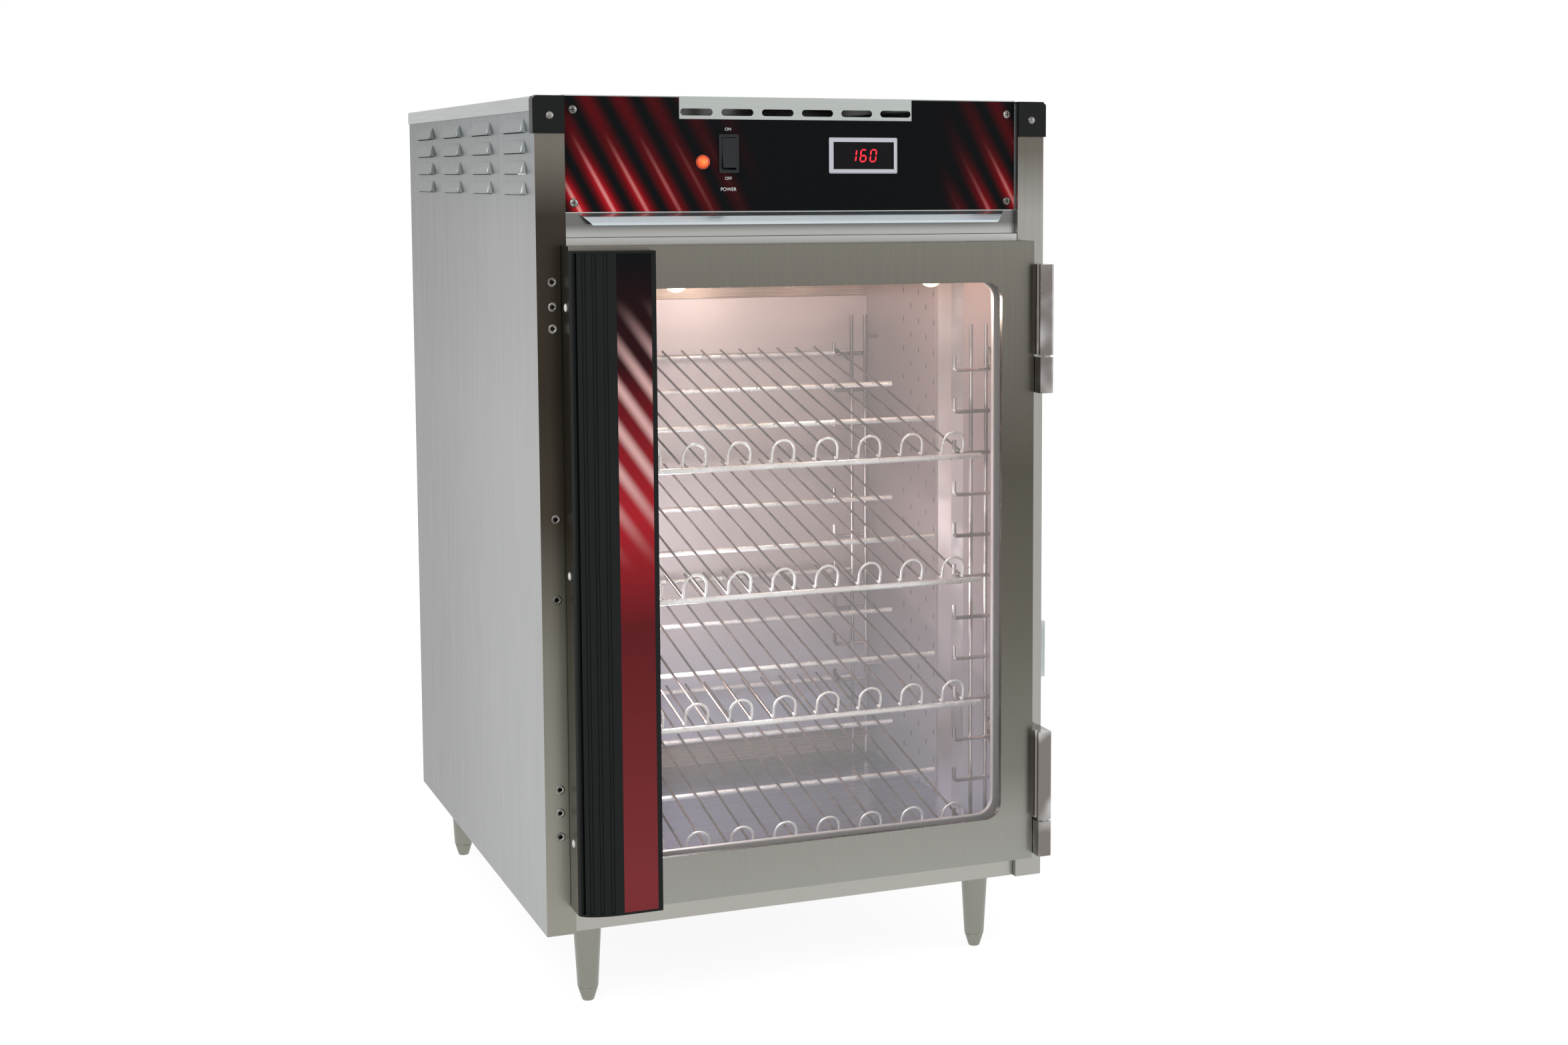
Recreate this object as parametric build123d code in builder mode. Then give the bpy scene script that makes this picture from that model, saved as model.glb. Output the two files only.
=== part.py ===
from build123d import *
import os
from math import cos, radians, sin

# Heated merchandising cabinet: a stainless steel counter cabinet with a glazed door,
# sloped wire shelves, interior lamps and a blower that moves warm air.
# Millimetres. X runs to the right, Y to the back, Z up, and the floor is z = 0.

# Body
body_width = 550.0
body_depth = 658.0
body_height = 840.0
leg_height = 90.0
skin = 1.2  # outer sheet
liner = 1.0  # inner sheet
seam = 0.1  # between sheets that lie against each other
fit = 0.3  # between pieces that move or are pushed into each other
post_width = 30.0
post_return = 12.0
back_flange = 15.0
back_screw_inset = 60.0  # from the body's top and underside
back_screw_count = 4
back_screw_head = 8.0
back_screw_rise = 2.4
front_recess = 7.5  # control panel, band and rail stand behind the posts

# Louvres in both sides
louvre_width = 100.0
louvre_height = 13.5
louvre_rise = 5.0
louvre_angle = 60.0
louvre_columns = 4
louvre_rows = 4
louvre_row_pitch = 20.5
louvre_first_column = 87.0  # behind the post front
louvre_last_column = 104.5  # before the body's back
louvre_top_row = 26.5  # below the body's top

# Threaded inserts in the left post
insert_heights_low = (101.5, 126.0, 150.0, 343.0, 424.0)  # above the body's underside
insert_drops_high = (226.5, 205.0, 180.5)  # below the body's top
insert_inset = 15.5
insert_hole = 6.0
insert_flange = 9.5
insert_bore = 4.0
insert_rise = 0.8
insert_length = 8.0
insert_sides = 6

# Corner caps and top cover
cap_height = 35.0
cap_thickness = 2.0
cap_wrap = 12.0
cap_chamfer = 3.5
rivet_head = 8.0
rivet_rise = 1.6
rivet_shank = 1.9
rivet_sides = 12
cover_flange = 13.0

# Control panel: X from the middle, drops below the body's top
panel_height = 116.0
panel_rise = 3.0  # above the posts
panel_return = 13.0
overlay_thickness = 0.6
overlay_inset = 1.0
panel_screw_inset = 40.0
panel_screw_rise = 10.0  # above the panel's lower edge
panel_screw_drop = 11.5
fitting_lap = 1.5  # a fitting's flange over its hole
fitting_corner = 1.5
screw_head = 9.0
screw_rise = 2.2
screw_sides = 8
screw_chamfer = 0.9
screw_shank = 4.0
screw_length = 10.0
vent_strip_width = 252.0
vent_strip_drop = 19.5
vent_count = 6
vent_pitch = 43.1
vent_length = 34.0
vent_height = 7.0
vent_drop = 12.5
lamp_x = -102.0
lamp_drop = 62.5
lamp_lens = 14.5
lamp_rise = 4.5
lamp_length = 24.0
lamp_sides = 16
switch_x = -75.0
switch_drop = 54.0
switch_width = 21.0
switch_height = 39.0
switch_flange = 3.0
switch_depth = 26.0
rocker_width = 14.4
rocker_height = 30.0
rocker_proud = 5.5
rocker_dip = 3.5
rocker_thickness = 9.0
rocker_tilt = 8.0
rocker_back = 2.0  # depth of the rocker's ends behind the axle
rocker_heel = 4.0  # half the flat of the rocker's underside
rocker_end_gap = 1.3
rocker_floor_gap = 2.0
display_x = 71.0
display_drop = 55.5
display_width = 76.0
display_height = 37.0
display_border = 4.5
display_rise = 3.0
display_chamfer = 1.0
display_glass = 1.5
display_depth = 32.0

# Lip and band between control panel and door
lip_reach = 12.5
lip_drop = 12.0
lip_inset = 14.0
band_height = 24.0
jamb_gap = 0.5  # below the band

# Door
door_inset = 24.5  # from each side of the body
door_bottom = 28.5  # above the body's underside
door_top_gap = 7.5  # below the band
door_thickness = 28.0
door_gap = 2.0
door_lip = 4.5  # folded edge above the handle
window_left = 62.0
window_right = 37.0
window_top = 43.0
window_bottom = 48.0
window_radius = 18.0
glass_thickness = 4.0
glass_lap = 12.0
pane_gap = 8.0
window_return = 5.0
gasket_inset = 9.5
gasket_width = 12.0
gasket_chamfer = 1.0
inner_pan_depth = 14.0
jamb_recess = 1.0  # behind the post front
jamb_depth = 12.0

# Handle extrusion
handle_width = 83.0
handle_reach = 17.0
handle_wall = 3.0
handle_round = 42.0
flute_radius = 2.8
flute_angles = (24.0, 43.0, 60.0, 76.0)
insert_strip_start = 43.0
insert_strip_width = 35.0
insert_strip_depth = 1.2
handle_cap = 2.5
plug_radius = 4.2
plug_crown = 3.0
plug_rise = 1.5
plug_sides = 12
plugs_low = (69.5, 340.5)  # above the door's lower edge
plug_high = 60.5  # below the door's upper edge

# Hinges
hinge_height = 136.0
hinge_split = 38.0
hinge_low = 5.5  # above the door's lower edge
hinge_high = 24.5  # below the door's upper edge
hinge_side_gap = 0.5  # from the door's edge
hinge_width = 15.5
hinge_proud = 16.0
hinge_plate = 3.5
hinge_back_gap = 2.0
hinge_washer = 2.0
hinge_hollow = 4.0
hinge_corner = 3.0
pin_radius = 3.0
pin_fit = 0.08
pin_length = 60.0
washer_radius = 6.0
washer_sides = 12
pin_inset = 9.0  # from the door's edge
pin_depth = 8.0  # behind the hinge's front

# Side cleat
cleat_thickness = 7.0
cleat_bottom = 219.0
cleat_height = 61.0
cleat_start = 4.0
cleat_length = 16.0
cleat_corner = 1.5

# Legs and feet
leg_front_inset = 55.0
leg_rear_side = 42.0
leg_rear_inset = 35.0
leg_collar = 3.0
leg_top_radius = 15.0
leg_end_radius = 10.8
leg_sides = 12
leg_stud = 6.0
leg_stud_sides = 8
leg_stud_end = 4.0  # above the leg's plate
leg_plate = 60.0
leg_plate_thickness = 3.0
foot_height = 14.0
foot_tip_radius = 6.3
foot_stem = 5.0
foot_travel = 19.0
foot_grip = 17.0  # thread left in the leg when the foot is screwed out
foot_bore_end = 2.0  # left above the stem when the foot is screwed in
foot_stem_sides = 12

# Cavity
wall_gap = 14.0  # outer face of the body to the liner
cavity_floor = 30.0  # above the body's underside
cavity_ceiling_drop = 140.0  # below the body's top
cavity_back_gap = 168.0  # before the body's back
duct_depth = 12.0
duct_bottom = 62.0
duct_top_drop = 86.0  # below the ceiling
pan_height = 25.0
channel_start = 177.0
channel_width = 80.0
channel_rise = 6.0
channel_step = 21.0

# Wire shelves
shelf_count = 4
shelf_tilt = 12.5
shelf_side_gap = 45.0  # from the body's side to the rods' ends
shelf_back_gap = 36.4  # from the last rod to the back wall
rod_radius = 3.1
rod_count = 4
first_rod_depth = 62.0  # behind the post front
lowest_rod_level = 45.8  # above the body's underside
wire_radius = 1.4
wire_pitch = 24.5
wire_gap = 0.05  # at the welds
arch_height = 28.5
arch_steps = 3
wire_stub = 8.0

# Racks
rack_front_drop = 98.0  # below the ceiling
rack_rear_drop = 108.0
rack_bottom = 38.0
rack_rod = 2.3
rack_wall_gap = 17.0
rack_rod_spacing = 18.0
hook_play = 1.55  # between a hook's end and the outer wire
hook_rise = 15.0
hook_pitch = 45.8
hooks_per_shelf = 3
hook_to_first_rod = 10.0
hook_to_back_rod = 6.6
hook_gap = 0.1
knob_radius = 15.0
knob_thickness = 8.0
knob_level_low = 150.0
knob_drop_high = 37.0  # below the front ladder's top
knob_offset = 23.0
knob_stud = 3.0
knob_sides = 12
knob_chamfer = 2.5
tab_thickness = 2.0
tab_width = 34.0
tab_height = 24.0

# Lamps, blower and heater
bulb_depth = 178.0  # behind the post front
left_bulb_x = -80.0  # from the middle
right_bulb_gap = 55.0  # from the body's right side
bulb_radius = 14.0
bulb_neck = 8.4
bulb_neck_length = 8.0
bulb_flare = 10.0
bulb_dome = 9.0
bulb_crown = 8.0
bulb_length = 62.0
bulb_sides = 12
socket_radius = 15.0
socket_height = 26.0
intake_drop = 45.0  # below the ceiling
intake_radius = 40.0
intake_slots = 5
intake_pitch = 11.0
fan_radius = 58.0
fan_width = 42.0
fan_blades = 16
fan_blade_chord = 8.5
fan_blade_angle = 35.0
fan_sheet = 1.2
fan_plate = 2.0
fan_rim = 10.0
fan_hub = 9.0
scroll_gap = 12.0  # from the wheel to the housing's wall
scroll_sides = 16
housing_wall = 1.5
housing_depth = 56.0
housing_bore = 8.0
outlet_width = 70.0
outlet_drop = 45.0
outlet_height = 34.0
motor_radius = 34.0
motor_length = 58.0
motor_chamfer = 5.0
shaft_radius = 4.0
shaft_seat = 35.0  # length of the shaft inside the motor
shaft_end_gap = 3.0
heater_radius = 3.5
heater_sides = 8
heater_end_spacing = 80.0
heater_half_width = 150.0
heater_bottom = 180.0
heater_top_drop = 230.0  # below the ceiling
heater_terminal = 20.0
probe_radius = 2.0
probe_length = 45.0
probe_back_gap = 60.0  # before the back wall
probe_tail = 20.0
probe_collar = 6.0
probe_collar_height = 3.0
probe_sides = 8
inlet_side = 90.0  # from the body's left side
inlet_lap = 4.0
inlet_lap_low = 3.0
inlet_corner = 3.0
inlet_width = 50.0
inlet_height = 28.0
inlet_flange = 3.0
inlet_depth = 26.0
inlet_level = 60.0
socket_width = 25.0
socket_opening = 17.0
socket_deep = 18.0
socket_pins = ((0.0, 3.0), (-7.0, -2.0), (7.0, -2.0))
socket_pin_width = 2.0
socket_pin_height = 4.0

# Vents in the back panel
back_vent_columns = 5
back_vent_rows = 4
back_vent_column_pitch = 60.0
back_vent_row_pitch = 16.0
back_vent_length = 44.0
back_vent_height = 6.0
back_vent_drop = 65.0  # below the body's top

# What follows for the control panel, heights above the body's underside
panel_bottom = body_height + panel_rise - panel_height
panel_screw_low = panel_bottom + panel_screw_rise
panel_screw_high = body_height - panel_screw_drop
vent_strip_bottom = body_height - vent_strip_drop
vent_level = body_height - vent_drop
lamp_level = body_height - lamp_drop
switch_level = body_height - switch_drop
display_level = body_height - display_drop

# What follows for the door and its jamb
band_bottom = panel_bottom - band_height
jamb_top = band_bottom - jamb_gap
door_width = body_width - 2 * door_inset
door_height = band_bottom - door_top_gap - door_bottom
door_top = door_bottom + door_height
gasket_middle = gasket_inset + gasket_width / 2
jamb_open_side = door_inset + gasket_middle
jamb_open_bottom = door_bottom + gasket_middle
jamb_open_top = door_top - gasket_middle
plug_heights = (*[door_bottom + rise for rise in plugs_low], door_top - plug_high)
hinge_bottoms = (door_bottom + hinge_low, door_top - hinge_high - hinge_height)

# What follows for the cavity
cavity_ceiling = body_height - cavity_ceiling_drop
cavity_back = body_depth - cavity_back_gap
duct_top = cavity_ceiling - duct_top_drop
intake_level = cavity_ceiling - intake_drop
heater_top = cavity_ceiling - heater_top_drop
bulb_places = (
    (body_width / 2 + left_bulb_x, bulb_depth),
    (body_width - right_bulb_gap, bulb_depth),
)

# What follows for shelves and racks
shelf_pitch = hooks_per_shelf * hook_pitch
rod_length = body_width - 2 * shelf_side_gap
rod_span = (cavity_back - first_rod_depth - shelf_back_gap) / cos(radians(shelf_tilt))
rod_pitch = rod_span / (rod_count - 1)
arch_count = int(rod_length // (2 * wire_pitch))
outer_wire = (arch_count - 0.5) * wire_pitch  # from the middle
hook_end = body_width / 2 + outer_wire - wire_radius - rack_rod - hook_play
front_hook_depth = first_rod_depth + hook_to_first_rod
rack_top_front = cavity_ceiling - rack_front_drop
rack_top_rear = cavity_ceiling - rack_rear_drop
knob_levels = (knob_level_low, rack_top_front - knob_drop_high)

# Datums: the box around everything is centred on X = 0 and Y = 0
reach_right = max(louvre_rise, cleat_thickness)
reach_front = door_gap + door_thickness + max(handle_reach, hinge_proud)
left = (louvre_rise - reach_right - body_width) / 2
right = left + body_width
middle = left + body_width / 2
front = (reach_front - inlet_flange - body_depth) / 2
back = front + body_depth
base = leg_height
top = base + body_height
mirror_plane = Plane.YZ.offset(middle)

os.makedirs("parts", exist_ok=True)


def save(part, name):
    """Label a finished piece and write it."""
    part.label = name
    export_step(part, f"parts/{name}.step")


def facing_front(depth):
    """Plane that looks forward, at this depth behind the post front."""
    return Plane.XZ.offset(-(front + depth))


def ringed(rings, sides):
    """A turned piece about Z with flat sides, through rings of (height, radius) from the lowest up."""
    with BuildPart() as piece:
        for height, radius in rings:
            with BuildSketch(Plane.XY.offset(height)):
                RegularPolygon(radius, sides)
        loft(ruled=True)
    return piece.part


# Side panels: one sheet folded into the front post and the back flange
with BuildPart() as louvre_hood:
    with BuildSketch(Plane.YZ):
        Trapezoid(louvre_width, louvre_height, louvre_angle)
    with BuildSketch(Plane.YZ.offset(-louvre_rise)):
        with Locations((0, skin - louvre_height / 2)):
            Rectangle(louvre_width - 2 * louvre_rise, 2 * skin)
    loft()

with BuildPart() as louvre_pocket:
    with BuildSketch(Plane.YZ.offset(skin)):
        with Locations((0, -skin)):
            Trapezoid(louvre_width - 4 * skin, louvre_height - skin, louvre_angle)
    with BuildSketch(Plane.YZ.offset(skin - louvre_rise)):
        with Locations((0, -louvre_height / 2)):
            Rectangle(louvre_width - 2 * louvre_rise - 4 * skin, 2 * skin)
    loft()

louvre_column_pitch = (body_depth - louvre_first_column - louvre_last_column) / (louvre_columns - 1)
first_louvre_y = front + louvre_first_column
louvre_places = [
    (left, first_louvre_y + column * louvre_column_pitch, top - louvre_top_row - row * louvre_row_pitch)
    for column in range(louvre_columns)
    for row in range(louvre_rows)
]
insert_heights = (*insert_heights_low, *[body_height - drop for drop in insert_drops_high])
insert_places = [(left + insert_inset, base + height) for height in insert_heights]

with BuildPart() as side_sheet:
    with BuildSketch(Plane.XY.offset(base)):
        with BuildLine():
            Polyline(
                (left + post_width, front + post_return),
                (left + post_width, front),
                (left, front),
                (left, back),
                (left + back_flange, back),
            )
            offset(amount=skin, side=Side.RIGHT)
        make_face()
    extrude(amount=body_height)
    with Locations(*louvre_places):
        add(louvre_hood.part)
        add(louvre_pocket.part, mode=Mode.SUBTRACT)

with BuildPart() as left_side_panel:
    add(side_sheet.part)
    with BuildSketch(facing_front(0)):
        with Locations(*insert_places):
            RegularPolygon(insert_hole / 2, insert_sides)
    extrude(amount=-skin, mode=Mode.SUBTRACT)
save(left_side_panel.part, "left_side_panel")

with BuildPart() as right_side_panel:
    mirror(side_sheet.part, about=mirror_plane)
save(right_side_panel.part, "right_side_panel")

# Threaded inserts in the left post, where the door's hinges could go instead
with BuildPart() as post_inserts:
    with BuildSketch(facing_front(0)):
        with Locations(*insert_places):
            RegularPolygon(insert_flange / 2, insert_sides)
    extrude(amount=insert_rise)
    with BuildSketch(facing_front(0)):
        with Locations(*insert_places):
            RegularPolygon(insert_hole / 2 - seam, insert_sides)
    extrude(amount=-insert_length)
    with BuildSketch(facing_front(-insert_rise)):
        with Locations(*insert_places):
            RegularPolygon(insert_bore / 2, insert_sides)
    extrude(amount=-insert_length, mode=Mode.SUBTRACT)
save(post_inserts.part, "post_inserts")

# Base pan with upturned sides, its leg plates and the front rail
leg_places = [
    (left + leg_front_inset, front + leg_front_inset),
    (right - leg_front_inset, front + leg_front_inset),
    (left + leg_rear_side, back - leg_rear_inset),
    (right - leg_rear_side, back - leg_rear_inset),
]
pan_front = front + front_recess + skin + seam
pan_back = back - skin - seam
pan_length = pan_back - pan_front
pan_width = body_width - 2 * (skin + seam)
with BuildPart() as base_pan:
    with BuildSketch(Plane.XY.offset(base)):
        with Locations((middle, pan_front + pan_length / 2)):
            Rectangle(pan_width, pan_length)
    extrude(amount=pan_height)
    with BuildSketch(Plane.XY.offset(base + skin)):
        with Locations((middle, pan_front + pan_length / 2)):
            Rectangle(pan_width - 2 * skin, pan_length - 2 * skin)
    extrude(amount=pan_height, mode=Mode.SUBTRACT)
    # the posts' returns pass in front of the pan's corners
    with BuildSketch(Plane.XY.offset(base)):
        with Locations((left, pan_front), (right, pan_front)):
            Rectangle(2 * (post_width + fit), 2 * (post_return - front_recess))
    extrude(amount=pan_height, mode=Mode.SUBTRACT)
    # plates welded in where the legs bolt on
    with BuildSketch(Plane.XY.offset(base)):
        with Locations(*leg_places):
            Rectangle(leg_plate, leg_plate)
    extrude(amount=skin + leg_plate_thickness)
    with BuildSketch(Plane.XY.offset(base)):
        with Locations(*leg_places):
            RegularPolygon(leg_stud + seam, leg_stud_sides)
    extrude(amount=pan_height, mode=Mode.SUBTRACT)
save(base_pan.part, "base_pan")

between_posts = body_width - 2 * (post_width + fit)
rail_left = left + post_width + fit
with BuildPart() as bottom_rail:
    with BuildSketch(Plane.YZ.offset(rail_left)):
        with BuildLine():
            Polyline(
                (front + front_recess, base),
                (front + front_recess, base + door_bottom - skin),
                (front + post_return + fit, base + door_bottom - skin),
            )
            offset(amount=skin, side=Side.RIGHT)
        make_face()
    extrude(amount=between_posts)
save(bottom_rail.part, "bottom_rail")

# Back panel between the side panels' flanges, with a vent field and the inlet's opening
back_width = body_width - 2 * skin - 2 * seam
inlet_x = left + inlet_side
inlet_body_width = inlet_width - 2 * inlet_lap
inlet_body_height = inlet_height - 2 * inlet_lap_low
with BuildPart() as back_panel:
    with BuildSketch(Plane.XZ.offset(-(back - 2 * skin - seam))):
        with Locations((middle, base + body_height / 2 + pan_height / 2)):
            Rectangle(back_width, body_height - pan_height - 2 * seam)
        with Locations((middle, top - back_vent_drop)):
            with GridLocations(
                back_vent_column_pitch, back_vent_row_pitch, back_vent_columns, back_vent_rows
            ):
                Rectangle(back_vent_length, back_vent_height, mode=Mode.SUBTRACT)
        with Locations((inlet_x, base + inlet_level)):
            Rectangle(inlet_body_width, inlet_body_height, mode=Mode.SUBTRACT)
    extrude(amount=skin)
save(back_panel.part, "back_panel")

back_screw_pitch = (body_height - 2 * back_screw_inset) / (back_screw_count - 1)
with BuildPart() as back_screws:
    with BuildSketch(Plane.XZ.offset(-back)):
        with Locations((middle, base + body_height / 2)):
            with GridLocations(body_width - back_flange, back_screw_pitch, 2, back_screw_count):
                RegularPolygon(back_screw_head / 2, 6)
    extrude(amount=-back_screw_rise)
save(back_screws.part, "back_screws")

# Top cover: a sheet with side flanges outside the panels
cover_front = front + cap_wrap + seam
cover_length = back - cover_front
with BuildPart() as top_cover:
    with BuildSketch(Plane.XZ.offset(-cover_front)):
        with BuildLine():
            Polyline(
                (left - seam, top - cover_flange),
                (left - seam, top),
                (right + seam, top),
                (right + seam, top - cover_flange),
            )
            offset(amount=skin, side=Side.LEFT)
        make_face()
    extrude(amount=-cover_length)
    with Locations((middle, back + seam + skin / 2, top + skin / 2 - cover_flange / 2)):
        Box(body_width + 2 * seam, skin, cover_flange + skin)
    with Locations((middle, back + seam / 2, top + skin / 2)):
        Box(body_width + 2 * seam, seam, skin)
save(top_cover.part, "top_cover")

# Corner caps: black moulded corners over the top of each post
with BuildPart() as corner_cap:
    with BuildSketch(Plane.XY.offset(top - cap_height)):
        with Locations((left - cap_thickness, front - cap_thickness)):
            Rectangle(
                post_width + cap_thickness,
                cap_wrap + cap_thickness,
                align=(Align.MIN, Align.MIN),
            )
    extrude(amount=cap_height + cap_thickness)
    with BuildSketch(Plane.XY.offset(top - cap_height)):
        with Locations((left, front)):
            Rectangle(
                post_width + cap_thickness,
                cap_wrap + cap_thickness,
                align=(Align.MIN, Align.MIN),
            )
    extrude(amount=cap_height, mode=Mode.SUBTRACT)
    outer_corner = corner_cap.edges().filter_by(Axis.Y).group_by(Axis.Z)[-1].sort_by(Axis.X)[0]
    chamfer(outer_corner, cap_chamfer)
    with BuildSketch(facing_front(0)):
        with Locations((left + post_width / 2, top - cap_height / 2)):
            RegularPolygon(rivet_shank + seam, rivet_sides)
    extrude(amount=cap_thickness, mode=Mode.SUBTRACT)

with BuildPart() as corner_caps:
    add(corner_cap.part)
    mirror(corner_cap.part, about=mirror_plane)
save(corner_caps.part, "corner_caps")

rivet_places = [(x, top - cap_height / 2) for x in (left + post_width / 2, right - post_width / 2)]
with BuildPart() as cap_rivets:
    with BuildSketch(facing_front(-cap_thickness)):
        with Locations(*rivet_places):
            RegularPolygon(rivet_head / 2, rivet_sides)
    extrude(amount=rivet_rise)
    chamfer(cap_rivets.faces().sort_by(Axis.Y)[:2].edges(), rivet_rise / 2)
    with BuildSketch(facing_front(-cap_thickness)):
        with Locations(*rivet_places):
            RegularPolygon(rivet_shank, rivet_sides)
    extrude(amount=-cap_thickness)
save(cap_rivets.part, "cap_rivets")

# Control panel: a recessed tray with vents, and openings for its fittings
panel_front = front + front_recess
panel_top = top + panel_rise
panel_screws_at = [
    (left + x, base + z)
    for x in (panel_screw_inset, body_width - panel_screw_inset)
    for z in (panel_screw_low, panel_screw_high)
]
lamp_body = lamp_lens / 2 - fitting_lap
switch_hole_width = switch_width - 2 * fitting_lap
switch_hole_height = switch_height - 2 * fitting_lap
display_hole_width = display_width - 2 * display_border
display_hole_height = display_height - 2 * display_border
with BuildPart() as control_panel:
    with BuildSketch(Plane.YZ.offset(rail_left)):
        with BuildLine():
            Polyline(
                (panel_front + panel_return, base + panel_bottom),
                (panel_front, base + panel_bottom),
                (panel_front, panel_top),
                (panel_front + panel_return, panel_top),
            )
            offset(amount=skin, side=Side.RIGHT)
        make_face()
    extrude(amount=between_posts)
    with BuildSketch(facing_front(front_recess)):
        with Locations((middle, base + vent_level)):
            with GridLocations(vent_pitch, 1, vent_count, 1):
                SlotOverall(vent_length, vent_height)
        with Locations((middle + lamp_x, base + lamp_level)):
            RegularPolygon(lamp_body, lamp_sides)
        with Locations((middle + switch_x, base + switch_level)):
            Rectangle(switch_hole_width, switch_hole_height)
        with Locations((middle + display_x, base + display_level)):
            Rectangle(display_hole_width, display_hole_height)
        with Locations(*panel_screws_at):
            RegularPolygon(screw_shank / 2, 6)
    extrude(amount=-skin, mode=Mode.SUBTRACT)
save(control_panel.part, "control_panel")

# Overlay: the printed film on the panel, left open at the vents
overlay_low = base + panel_bottom + overlay_inset
overlay_high = panel_top - overlay_inset
with BuildPart() as control_overlay:
    with BuildSketch(facing_front(front_recess)):
        with Locations((middle, (overlay_low + overlay_high) / 2)):
            Rectangle(between_posts - 2 * overlay_inset, overlay_high - overlay_low)
        with Locations((middle, base + vent_strip_bottom)):
            Rectangle(
                vent_strip_width,
                overlay_high - base - vent_strip_bottom + overlay_inset,
                align=(Align.CENTER, Align.MIN),
                mode=Mode.SUBTRACT,
            )
        with Locations((middle + lamp_x, base + lamp_level)):
            RegularPolygon(lamp_body, lamp_sides, mode=Mode.SUBTRACT)
        with Locations((middle + switch_x, base + switch_level)):
            Rectangle(switch_hole_width, switch_hole_height, mode=Mode.SUBTRACT)
        with Locations((middle + display_x, base + display_level)):
            Rectangle(display_hole_width, display_hole_height, mode=Mode.SUBTRACT)
        with Locations(*panel_screws_at):
            RegularPolygon(screw_shank / 2, 6, mode=Mode.SUBTRACT)
    extrude(amount=overlay_thickness)
save(control_overlay.part, "control_overlay")
overlay_face = front_recess - overlay_thickness

with BuildPart() as panel_screws:
    with BuildSketch(facing_front(overlay_face)):
        with Locations(*panel_screws_at):
            RegularPolygon(screw_head / 2, screw_sides)
    extrude(amount=screw_rise)
    chamfer(panel_screws.faces().sort_by(Axis.Y)[:4].edges(), screw_chamfer)
    with BuildSketch(facing_front(overlay_face)):
        with Locations(*panel_screws_at):
            RegularPolygon(screw_shank / 2 - seam, 6)
    extrude(amount=-screw_length)
save(panel_screws.part, "panel_screws")

# Pilot lamp: a domed lens on its body
with BuildPart() as pilot_lamp:
    lamp_plane = Plane(
        origin=(middle + lamp_x, front + overlay_face, base + lamp_level),
        x_dir=(1, 0, 0),
        z_dir=(0, -1, 0),
    )
    with BuildSketch(lamp_plane):
        RegularPolygon(lamp_lens / 2, lamp_sides)
    extrude(amount=lamp_rise)
    chamfer(pilot_lamp.faces().sort_by(Axis.Y)[0].edges(), lamp_rise / 2)
    with BuildSketch(lamp_plane):
        RegularPolygon(lamp_body - seam, lamp_sides)
    extrude(amount=-lamp_length)
save(pilot_lamp.part, "pilot_lamp")

# Rocker switch: a frame with its body, and the rocker on a cross axle
pivot_y = front + overlay_face
pivot_z = base + switch_level
with BuildPart() as switch_frame:
    with BuildSketch(facing_front(overlay_face)):
        with Locations((middle + switch_x, pivot_z)):
            RectangleRounded(switch_width, switch_height, fitting_corner)
    extrude(amount=switch_flange)
    with BuildSketch(facing_front(overlay_face)):
        with Locations((middle + switch_x, pivot_z)):
            Rectangle(switch_hole_width - 2 * seam, switch_hole_height - 2 * seam)
    extrude(amount=-switch_depth)
    with BuildSketch(facing_front(overlay_face - switch_flange)):
        with Locations((middle + switch_x, pivot_z)):
            Rectangle(rocker_width + 2 * fit, rocker_height + 2 * rocker_end_gap)
    extrude(amount=-(switch_flange + rocker_thickness + rocker_floor_gap), mode=Mode.SUBTRACT)
save(switch_frame.part, "switch_frame")

rocker_half = rocker_height / 2
with BuildPart() as switch_rocker:
    with BuildSketch(Plane.YZ.offset(middle + switch_x - rocker_width / 2)):
        with Locations(Location((pivot_y, pivot_z), -rocker_tilt)):
            Polygon(
                (-rocker_proud, rocker_half),
                (-rocker_dip, 0),
                (-rocker_proud, -rocker_half),
                (rocker_back, -rocker_half),
                (rocker_thickness - rocker_dip, -rocker_heel),
                (rocker_thickness - rocker_dip, rocker_heel),
                (rocker_back, rocker_half),
                align=None,
            )
    extrude(amount=rocker_width)
save(switch_rocker.part, "switch_rocker")

# Temperature display: bezel, dark window and the module behind the panel
display_plane = facing_front(overlay_face)
with BuildPart() as display_bezel:
    with BuildSketch(display_plane):
        with Locations((middle + display_x, base + display_level)):
            RectangleRounded(display_width, display_height, fitting_corner)
            Rectangle(display_hole_width, display_hole_height, mode=Mode.SUBTRACT)
    extrude(amount=display_rise)
    chamfer(display_bezel.faces().sort_by(Axis.Y)[0].outer_wire().edges(), display_chamfer)
save(display_bezel.part, "display_bezel")

with BuildPart() as display_window:
    with BuildSketch(display_plane):
        with Locations((middle + display_x, base + display_level)):
            Rectangle(display_hole_width - 2 * seam, display_hole_height - 2 * seam)
    extrude(amount=display_glass)
save(display_window.part, "display_window")

with BuildPart() as display_module:
    with BuildSketch(display_plane):
        with Locations((middle + display_x, base + display_level)):
            Rectangle(display_hole_width - 2 * seam, display_hole_height - 2 * seam)
    extrude(amount=-display_depth)
save(display_module.part, "display_module")

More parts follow.
